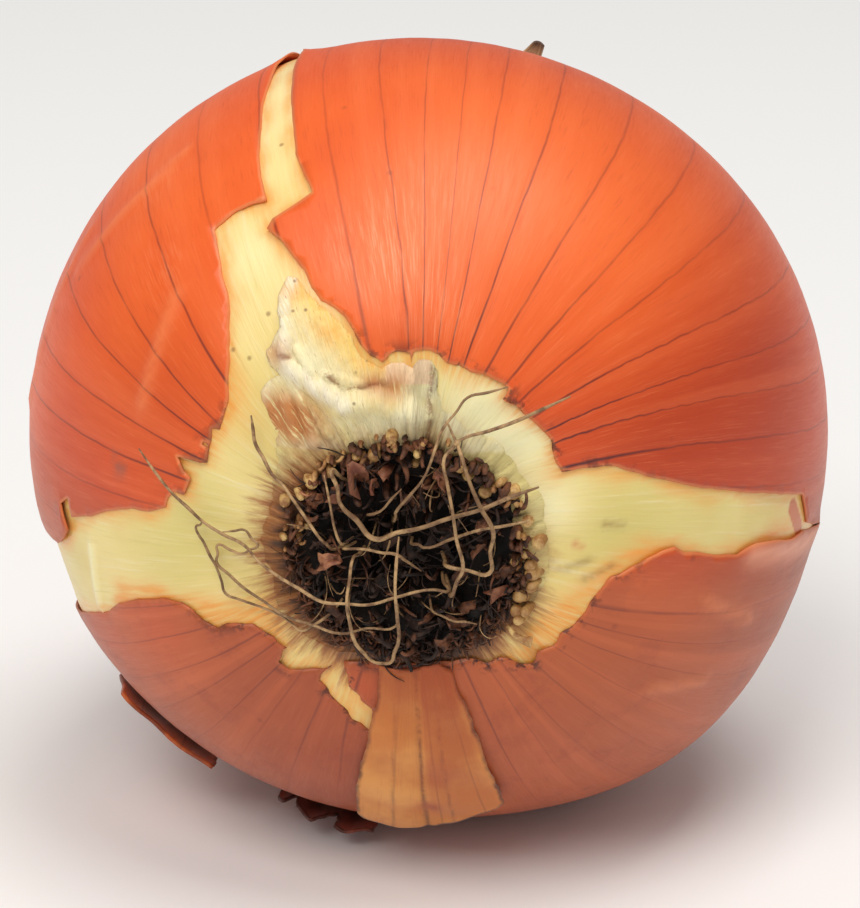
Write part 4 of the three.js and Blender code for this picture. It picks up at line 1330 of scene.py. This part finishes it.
def sheet_piece(name, node, material, corners, lift_of, *, spacing, roughness, seed, thickness):
    outline = ragged_outline(corners, spacing, roughness, seed)
    grid = jittered_grid(outline, spacing, seed)
    flat, faces = triangles_within(grid, [outline], lambda middles: inside(middles, outline))
    across, up = flat[:, 0], flat[:, 1]
    edge = distance_to(flat, outline)
    lift, groove, stain = lift_of(across, up, edge)
    sheet = add_mesh(name, map_point(across, up, lift), faces)
    face_out(sheet)
    set_grain_map(sheet, across, up)
    set_attribute(sheet, "edge_mm", edge)
    set_masks(sheet, groove=groove, stain=stain)
    thicken(sheet, thickness)
    settle(sheet, node, material)


STRIP_TOP, STRIP_LENGTH = 12, 26
STRIP_SPOTS = [(1.9, -32, 1.1, 0.9), (-2.6, -24, 2.2, 0.5), (2.5, -26, 2.4, 0.3)]
REMNANT_INNER_REACH = 46
SCRAP_OUTER_REACH = 50


def strip_lift(across, up, edge):
    """part runs from -1 at the left edge of the strip to 1 at the right one, and the ribs follow it."""
    down = np.clip((-up - STRIP_TOP) / STRIP_LENGTH, 0, 1)
    centre = 1.0 + 0.6 * down
    half = 3.8 + 4.0 * down
    part = (across - centre) / half
    ribs = 0.45 * bell(np.abs(part) - 0.45, 0.22) - 0.35 * bell(part + 0.02, 0.07)
    curl = 0.15 * down * bell(edge, 1.2)
    lift = 1.35 + 0.75 * down + 0.5 * ribs + curl + 0.08 * np.sin(0.8 * up + 2 * part)
    groove = bell(part + 0.02, 0.03) + 0.7 * bell(part - 0.38, 0.02) + 0.4 * bell(part + 0.5, 0.02)
    right_half = 0.5 * np.clip((part - 0.02) / 0.1, 0, 1) * np.clip((up + 38) / 12, 0, 1)
    stain = 0.8 * bell(up + STRIP_TOP, 6) + right_half * np.clip(edge / 0.9, 0, 1)
    stain += patches(across, up, STRIP_SPOTS)
    return lift, groove, stain


def remnant_lift(across, up, edge):
    inner = np.hypot(across, up) - REMNANT_INNER_REACH
    lift = 1.75 + 0.6 * bell(inner, 4) + 0.1 * np.sin(across)
    return lift, np.zeros_like(across), np.zeros_like(across)


# The stain darkens the scrap towards the bulb: painted shadow where it lies under the bulb.
def scrap_lift(across, up, edge):
    out = np.clip((SCRAP_OUTER_REACH - np.hypot(across, up)) / 6.5, 0, 1)
    lift = 1.35 + 1.7 * out ** 1.2 + 0.3 * np.sin(1.3 * across)
    return lift, np.zeros_like(across), 0.5 * out


sheet_piece(
    "golden_strip", "front_strip", golden_material,
    STRIP_OUTLINE, strip_lift, spacing=0.3, roughness=0.1, seed=31, thickness=0.3,
)
sheet_piece(
    "left_old_skin", "left_remnant", remnant_material,
    REMNANT_OUTLINE, remnant_lift, spacing=0.5, roughness=0.3, seed=32, thickness=0.4,
)
sheet_piece(
    "under_scrap_skin", "under_scrap", scrap_shaded_material,
    SCRAP_OUTLINE, scrap_lift, spacing=0.35, roughness=0.18, seed=33, thickness=0.35,
)

# %% [markdown]
# The root end is a tangle: a dark plate sunk in its dimple, near black as soil with painted shadow of the
# hollow, a crowd of short broken roots in browns and near black, tan knobs round the rim, and long wiry
# threads over it all. Roots are curves with a round profile that get thinner towards the tip, turned into
# meshes.

# %% Root materials


def make_root_material(name, pale, deep, roughness):
    material, tree, surface, place, _ = new_material(name, roughness)
    mottle = noise(tree, place, 800, 4, 0.65)
    colour = mix(tree, ramp(tree, mottle, 0.36, 0.64), deep, pale)
    broad = noise(tree, place, 150, 2)
    colour = mix(tree, ramp(tree, broad, 0.42, 0.62, 0.0, 0.55), colour, deep)
    put(surface["Base Color"], colour)
    put(surface["Normal"], bump(tree, mottle, 0.25, 0.8))
    return material


# The plate's near-black is dark soil with painted shadow of the hollow among the roots.
plate_soil_shadow_material = make_root_material("root_plate_soil_and_shadow", srgb(32, 20, 13), srgb(9, 6, 4), 0.9)
dark_root_material = make_root_material("dark_root", srgb(70, 42, 29), srgb(24, 14, 10), 0.75)
brown_root_material = make_root_material("brown_root", srgb(128, 78, 49), srgb(56, 30, 18), 0.7)
tan_root_material = make_root_material("tan_root", srgb(204, 158, 100), srgb(126, 78, 42), 0.6)
knob_material = make_root_material("knob", srgb(222, 186, 120), srgb(150, 102, 56), 0.5)
flake_material = make_root_material("flake", srgb(178, 120, 84), srgb(112, 58, 38), 0.6)
thread_material = make_root_material("root_thread", srgb(190, 154, 108), srgb(112, 80, 52), 0.6)

# %% Curves into roots


def add_roots(name, routes, material, resolution):
    """routes is a list of (points in mm, radii in mm). All of them become one mesh."""
    curve = bpy.data.curves.new(name, "CURVE")
    curve.dimensions = "3D"
    curve.bevel_depth = 1.0 * MM
    curve.bevel_resolution = resolution
    curve.use_fill_caps = True
    curve.resolution_u = 5
    for points, radii in routes:
        spline = curve.splines.new("BEZIER")
        spline.bezier_points.add(len(points) - 1)
        for knot, point, radius in zip(spline.bezier_points, points, radii):
            knot.co = Vector(point) * MM
            knot.handle_left_type = knot.handle_right_type = "AUTO"
            knot.radius = radius
    piece = bpy.data.objects.new(name, curve)
    scene.collection.objects.link(piece)
    bpy.ops.object.select_all(action="DESELECT")
    piece.select_set(True)
    bpy.context.view_layer.objects.active = piece
    bpy.ops.object.convert(target="MESH")
    piece = bpy.context.object
    piece.select_set(False)
    piece.data.shade_smooth()
    settle(piece, "roots", material)


# %% Root plate
PLATE_RADIUS, PLATE_THICKNESS = 11.2, 0.3
PLATE_LUMPS = 90


def make_plate():
    """A disc in the dimple, covered in small lumps of soil. Its near-black colour is partly painted shadow.
    """
    rim = circle(PLATE_RADIUS, 140)
    grid = jittered_grid(rim, spacing=0.34, seed=8)
    flat, faces = triangles_within(grid, [rim], lambda middles: inside(middles, rim))
    across, up = flat[:, 0], flat[:, 1]
    reach = np.hypot(across, up)
    random = np.random.default_rng(17)
    lift = 0.9 - root_sink(reach) + 0.25 * np.sin(2.1 * across) * np.sin(1.8 * up)
    for lump_across, lump_up in random.uniform(-9, 9, (PLATE_LUMPS, 2)):
        height, width = random.uniform(0.2, 0.9), random.uniform(0.4, 1.1)
        lift += height * bell(np.hypot(across - lump_across, up - lump_up), width)
    lift = np.where(reach > PLATE_RADIUS - 0.5, 0.5 - root_sink(reach), lift)
    plate = add_mesh("root_plate", map_point(across, up, lift), faces)
    face_out(plate)
    thicken(plate, PLATE_THICKNESS)
    settle(plate, "roots", plate_soil_shadow_material)


make_plate()

# %% Short roots in crowds


def short_root(random, bearings, reach_range, height_range, spread_range, radius_range, lean_range):
    """One root from the plate: it rises to its height while it spreads in the direction it leans.

    Each range runs from low to high, bearings and leans in degrees and the others in millimetres.
    """
    bearing = math.radians(random.uniform(*bearings))
    reach = math.sqrt(random.uniform(reach_range[0] ** 2, reach_range[1] ** 2))
    height = random.uniform(*height_range)
    spread = random.uniform(*spread_range)
    radius = random.uniform(*radius_range)
    turn = bearing + math.radians(random.uniform(*lean_range))
    curl = random.uniform(-1.5, 1.5)
    across, up = reach * math.sin(bearing), reach * math.cos(bearing)
    start = 0.5 - float(root_sink(reach))
    bow = random.uniform(0.9, 1.5)
    knots, radii = [], []
    for part in (0, 0.3, 0.55, 0.8, 1.0):
        way = turn + curl * part
        out = spread * part
        lift = start + (height - start) * math.sin(min(part * bow, 1.5) * math.pi / 2)
        lift = max(lift, 0.7 - root_sink(reach))
        knots.append(map_point(across + out * math.sin(way), up + out * math.cos(way), lift))
        radii.append(radius * (1 - 0.65 * part) * random.uniform(0.75, 1.25))
    return knots, radii


ANY_SIDE, ANY_LEAN = (0, 360), (-180, 180)
UPPER_RIM, LOWER_RIM = (-100, 110), (100, 262)
ROOT_CROWDS = [
    ("short_roots_dark", dark_root_material, 110, 41,
     ANY_SIDE, (2, 10.8), (0.2, 3.0), (0.4, 2.4), (0.16, 0.44), ANY_LEAN),
    ("short_roots_brown", brown_root_material, 66, 42,
     ANY_SIDE, (3, 11), (0.6, 3.4), (0.4, 2.6), (0.14, 0.42), ANY_LEAN),
    ("fine_roots_dark", dark_root_material, 110, 45,
     ANY_SIDE, (1, 9.5), (0.4, 3.6), (1.2, 5.0), (0.06, 0.14), ANY_LEAN),
    ("fine_roots_pale", thread_material, 34, 46,
     ANY_SIDE, (0, 9.5), (1.4, 4.4), (1.5, 5.0), (0.07, 0.13), ANY_LEAN),
    ("lower_beard", brown_root_material, 190, 47,
     LOWER_RIM, (8.8, 10.6), (0.8, 1.5), (1.0, 2.6), (0.08, 0.22), (-20, 20)),
    ("lower_beard_dark", dark_root_material, 150, 48,
     (95, 268), (8.4, 10.4), (0.8, 1.8), (1.0, 2.4), (0.08, 0.26), (-30, 30)),
    ("rim_spikes_brown", brown_root_material, 76, 49,
     UPPER_RIM, (10.0, 11.7), (1.4, 2.6), (-1.4, 0.4), (0.3, 0.55), (-25, 25)),
    ("rim_spikes_tan", tan_root_material, 44, 50,
     UPPER_RIM, (10.2, 11.9), (1.2, 2.2), (-1.2, 0.4), (0.26, 0.5), (-25, 25)),
    ("low_rim_stubs", brown_root_material, 50, 52,
     (110, 260), (9.4, 11.2), (1.0, 2.0), (0.2, 1.2), (0.2, 0.42), (-50, 50)),
]
for crowd_name, crowd_material, root_count, seed, *ranges in ROOT_CROWDS:
    random = np.random.default_rng(seed)
    add_roots(crowd_name, [short_root(random, *ranges) for _ in range(root_count)], crowd_material, 1)

# %% Knobs round the rim
KNOBS = [
    (-10.1, 2), (-10.5, 6.1), (-11.4, 5), (-2.7, 10.1), (-1.1, 12.1), (1.1, 10.9), (0.9, 8.6), (4, 8.7),
    (6.3, 8.2), (7.9, 6.2), (10, 6.6), (10.3, -0.8), (11.9, -1.3), (12.4, -3), (11.2, -4.8), (11.1, -6.8),
    (12.6, 1.2), (-7.6, 8.6), (-4.6, 10.4), (-11.9, 1), (11.6, 3.4), (12.6, -1.9), (11.9, -3.8), (11.7, -5.6),
    (10.6, -5.9), (11.4, 0.2), (9.4, 7.4), (11, 5), (5.2, 9.2), (-9.4, 7.2),
]
KNOB_PROFILE = ((0, 0.9), (0.45, 0.95), (0.75, 1.0), (0.92, 0.85), (1.0, 0.4))


def rim_knobs(seed):
    """Blunt root ends that lean in over the plate."""
    random = np.random.default_rng(seed)
    knobs = []
    for across, up in KNOBS:
        reach, bearing = math.hypot(across, up), math.atan2(across, up)
        radius = random.uniform(0.34, 0.66)
        height = random.uniform(1.0, 1.7)
        tilt = random.uniform(-1.3, -0.2)
        sideways = random.uniform(-0.05, 0.05)
        start = 0.3 - float(root_sink(reach))
        knots, radii = [], []
        for part, swell in KNOB_PROFILE:
            out, way = reach + tilt * part, bearing + sideways * part
            knots.append(map_point(out * math.sin(way), out * math.cos(way), start + (0.6 + height) * part))
            radii.append(radius * swell)
        knobs.append((knots, radii))
    return knobs


TRUMPET_STUB = [(9.4, -7.5, 1.0), (10.2, -8.2, 1.6), (11, -8.6, 1.8), (11.7, -8.7, 1.9)]
TRUMPET_RADII = [0.22, 0.28, 0.42, 0.62]
trumpet = ([map_point(*place) for place in TRUMPET_STUB], TRUMPET_RADII)
add_roots("rim_knobs", rim_knobs(44) + [trumpet], knob_material, 3)

# %% Dry flakes among the roots
FLAKE_POINTS, FLAKE_THICKNESS = 4, 0.1
FLAKES = [
    (-5.1, 7.9, 3.0, 2.6), (-7.3, -0.5, 2.0, 3.4), (-3.0, 6.6, 2.2, 2.4), (-8.8, 5.4, 2.4, 2.0),
    (-2, 8.2, 2.0, 2.4), (3.2, 7.4, 2.0, 2.6), (8.6, -3.4, 2.2, 2.4), (-6.4, 5.8, 2.0, 2.8),
]


def flake_grid(random, across, up, size, height):
    """A bent scrap, FLAKE_POINTS points along each side, standing askew on the plate."""
    centre = map_point(across, up, height * random.uniform(0.5, 1.0))
    turns = random.normal(size=(2, 3))
    length = turns[0] / np.linalg.norm(turns[0])
    width = turns[1] - (turns[1] @ length) * length
    width /= np.linalg.norm(width)
    normal = np.cross(length, width)
    bend, twist = random.uniform(-0.9, 0.9), random.uniform(-0.6, 0.6)
    points = []
    for row in np.linspace(-1, 1, FLAKE_POINTS):
        for column in np.linspace(-1, 1, FLAKE_POINTS):
            shake = random.uniform(-0.14, 0.14, 3) * size
            hollow = bend * column ** 2 + twist * row * column
            offset = length * row + width * column * 0.6 + normal * hollow
            points.append(centre + 0.5 * size * offset + shake)
    return points


def make_flakes(name, spots, seed, material):
    random = np.random.default_rng(seed)
    points, faces = [], []
    for across, up, size, height in spots:
        first = len(points)
        points += flake_grid(random, across, up, size, height)
        for row in range(FLAKE_POINTS - 1):
            for column in range(FLAKE_POINTS - 1):
                a = first + FLAKE_POINTS * row + column
                below = a + FLAKE_POINTS
                faces += [(a, a + 1, below + 1), (a, below + 1, below)]
    flakes = add_mesh(name, points, faces)
    thicken(flakes, FLAKE_THICKNESS)
    settle(flakes, "roots", material)


def scattered(count, seed, reach_range, size_range, height_range):
    random = np.random.default_rng(seed)
    spots = []
    for _ in range(count):
        bearing, reach = random.uniform(0, 2 * math.pi), random.uniform(*reach_range)
        spots.append((
            reach * math.sin(bearing), reach * math.cos(bearing),
            random.uniform(*size_range), random.uniform(*height_range),
        ))
    return spots


make_flakes("brown_flakes", scattered(28, 61, (4, 9.5), (0.8, 2.0), (0.8, 2.6)), 62, brown_root_material)
make_flakes("dark_flakes", scattered(38, 63, (1, 9.5), (0.8, 2.2), (0.1, 2.2)), 64, dark_root_material)
make_flakes("tan_flakes", FLAKES, 65, flake_material)

# %% Long threads
ROOT_THREADS = [
    [(-14.4, 13.1, 1.8), (-13.8, 10.6, 2), (-12.1, 7.9, 2.6), (-10.3, 6, 3.5), (-8, 2.1, 4), (-7, 0.6, 3)],
    [(1.6, -1.6, 3), (-1.1, 0.8, 4.5), (-3.6, 1, 4), (-6, 0.6, 3)],
    [(-0.2, 7.7, 4.5), (-2.2, 5.6, 4.5), (-3.5, 4.5, 3.5)],
    [(-25.4, 8.6, 2.6), (-22, 4.9, 2.2), (-18.9, 2.4, 1.8), (-15.1, 0.4, 2), (-12.1, -1.9, 3),
     (-7.9, -4.1, 4.6), (-3.6, -4.4, 5.2), (1.9, -3, 4.6), (4.1, -3.1, 4)],
    [(-18.9, 2.4, 1.8), (-19.9, 1.6, 1.4), (-19.3, 0, 1.2), (-18, -2.2, 1.4), (-17, -5, 1.3),
     (-14.6, -5.8, 1.5), (-11.9, -6.3, 2.2), (-9.9, -8, 2.3), (-7.6, -6.6, 2.4)],
    [(-17.1, 1.6, 1.8), (-15, 1.8, 1.6), (-13.8, 0.4, 1.8), (-15.2, -0.6, 1.7), (-17.7, 0, 1.3),
     (-18, -1.9, 1.3), (-15.3, -3.9, 1.7), (-11.3, -6.2, 2.6), (-6.2, -7.8, 3.2), (-1.1, -7.3, 3)],
    [(-0.6, 3, 5), (-0.9, -2.6, 6), (-0.6, -8.4, 4.5), (-1.2, -10.4, 4), (-3, -10.6, 3.7), (-4.8, -8.4, 4.6),
     (-5.7, -3.9, 5.5), (-5, 0, 4)],
    [(9.2, 16.6, 2.4), (5.5, 15.6, 2.2), (3.5, 12.9, 3), (1.9, 9.1, 4.4), (-0.9, 5.1, 3.8), (-1.1, 3.6, 3)],
    [(14.7, 15.5, 3), (10.1, 13.3, 2.2), (5.1, 12, 3), (3.6, 10.6, 4.4), (4.8, 6.3, 6), (5.8, 0.1, 5.6),
     (4.5, -3.4, 4.4)],
    [(3.9, 13.2, 2.4), (6, 8.8, 4.6), (8.5, 3.9, 5.2), (8.2, -0.8, 4.6), (4.1, -0.5, 4)],
    [(12.1, 7.3, 2.6), (7.2, 5.8, 4.6), (1.5, 3.7, 4.6), (-3.1, 2.2, 4), (-6.1, 5.6, 3.6), (-6.8, 8.4, 2.6)],
    [(11.6, 4, 2.6), (7.2, 3.6, 4.2), (1.8, 1.3, 3.6), (0.6, 1.2, 3)],
    [(-7.4, 8.2, 2.6), (-7, 5, 3.5), (-6.3, 1.2, 3.2)],
    [(6.8, -7, 2.4), (4.5, -6.5, 2.8), (2.6, -6, 2.2)],
]
THREAD_RADII = [0.16, 0.14, 0.12, 0.15, 0.13, 0.13, 0.16, 0.13, 0.17, 0.18, 0.22, 0.15, 0.13, 0.12]


def thread_routes():
    random = np.random.default_rng(51)
    routes = []
    for route, radius in zip(ROOT_THREADS, THREAD_RADII):
        last = route[-1]
        rooted = route + [(last[0] * 0.8, last[1] * 0.8, 0.9)]
        points, radii = [], []
        for start, end in zip(rooted, rooted[1:]):
            for part in (0, 0.5):
                u, v, lift = (a + (b - a) * part for a, b in zip(start, end))
                shake = random.uniform(-0.12, 0.12, 3)
                points.append(map_point(u + shake[0], v + shake[1], lift + 0.6 * shake[2]))
                radii.append(radius * random.uniform(0.85, 1.15))
        points.append(map_point(*rooted[-1]))
        radii.append(radius)
        radii[0] *= 0.5
        routes.append((points, radii))
    return routes


add_roots("root_threads", thread_routes(), thread_material, 2)

# %% [markdown]
# At the neck the leaves dried to papery blades. One of them curls up and looks over the top of the bulb.
# Each blade is a strip along its own centre line, cupped across and thin.

# %% Neck leaves
LEAF_BROWN = srgb(196, 152, 104)
LEAF_PALE = srgb(240, 214, 172)
LEAF_TIP = srgb(96, 68, 52)
NECK_AXIS = (1.6, 50.0, 47.0)
LEAF_ROWS, LEAF_COLUMNS, LEAF_THICKNESS = 30, 9, 0.3
NECK_LEAVES = [
    ([(1.8, 48.0, 45.4), (2.8, 55.5, 52.6), (5.2, 57.6, 59.4), (9.2, 52.4, 67.0)], [2.4, 3.0, 2.8, 0.6]),
    ([(3.0, 48.0, 45.0), (5.0, 56.0, 50.8), (8.8, 60.5, 52.8)], [2.4, 2.6, 0.5]),
    ([(1.8, 48.0, 43.6), (2.0, 56.0, 48.6), (0.6, 61.5, 50.6)], [2.4, 2.6, 0.5]),
    ([(0.8, 48.0, 45.0), (-1.2, 56.0, 51.8), (-3.4, 59.0, 55.6)], [2.2, 2.6, 0.5]),
]


def make_leaf_material():
    material, tree, surface, _, grain = new_material("neck_leaf", 0.6)
    streaks = fibres(tree, grain, 10.0)
    colour = mix(tree, ramp(tree, streaks, 0.36, 0.62), LEAF_BROWN, LEAF_PALE)
    colour = mix(tree, attribute(tree, "tip"), colour, LEAF_TIP)
    put(surface["Base Color"], colour)
    put(surface["Normal"], bump(tree, streaks, 0.3, 0.8))
    return material


leaf_material = make_leaf_material()


def leaf_grid(line, widths):
    """Points of a blade: rows along its smoothed centre line, columns across, cupped round the neck."""
    knots = np.array(line)
    parts = np.linspace(0, 1, LEAF_ROWS)
    places = parts * (len(knots) - 1)
    centre = np.stack([np.interp(places, range(len(knots)), knots[:, axis]) for axis in range(3)], axis=1)
    for _ in range(3):
        centre[1:-1] = (centre[:-2] + 2 * centre[1:-1] + centre[2:]) / 4
    half = np.interp(places, range(len(widths)), widths)
    tangent = np.gradient(centre, axis=0)
    tangent /= np.linalg.norm(tangent, axis=1, keepdims=True)
    away = centre - np.array(NECK_AXIS)
    away -= (away * tangent).sum(axis=1, keepdims=True) * tangent
    away /= np.linalg.norm(away, axis=1, keepdims=True)
    across = np.cross(tangent, away)
    side = np.linspace(-1, 1, LEAF_COLUMNS)
    wave = 0.18 * np.sin(parts * 17)[:, None] * side[None, :] ** 2
    sideways = across[:, None, :] * (half[:, None] * side)[:, :, None]
    cupped = away[:, None, :] * (wave - 0.35 * half[:, None] * side ** 2)[:, :, None]
    return centre[:, None, :] + sideways + cupped, parts, side


def make_neck_leaf(index, line, widths):
    grid, parts, side = leaf_grid(line, widths)
    faces = []
    for row in range(LEAF_ROWS - 1):
        for column in range(LEAF_COLUMNS - 1):
            a = row * LEAF_COLUMNS + column
            b = a + LEAF_COLUMNS
            faces += [(a, a + 1, b), (a + 1, b + 1, b)]
    leaf = add_mesh(f"neck_leaf_{index + 1}", grid.reshape(-1, 3), faces)
    corners = np.empty(len(leaf.data.loops), int)
    leaf.data.loops.foreach_get("vertex_index", corners)
    u = np.tile(side * 1.2, LEAF_ROWS)[corners]
    v = np.repeat(parts * 2.5, LEAF_COLUMNS)[corners]
    leaf.data.uv_layers.new(name="grain").data.foreach_set("uv", np.stack([u, v], axis=1).reshape(-1))
    set_masks(leaf, tip=np.repeat((parts - 0.95) / 0.04, LEAF_COLUMNS))
    thicken(leaf, LEAF_THICKNESS, offset=0)
    settle(leaf, "neck_leaves", leaf_material)


for leaf_index, (leaf_line, leaf_widths) in enumerate(NECK_LEAVES):
    make_neck_leaf(leaf_index, leaf_line, leaf_widths)
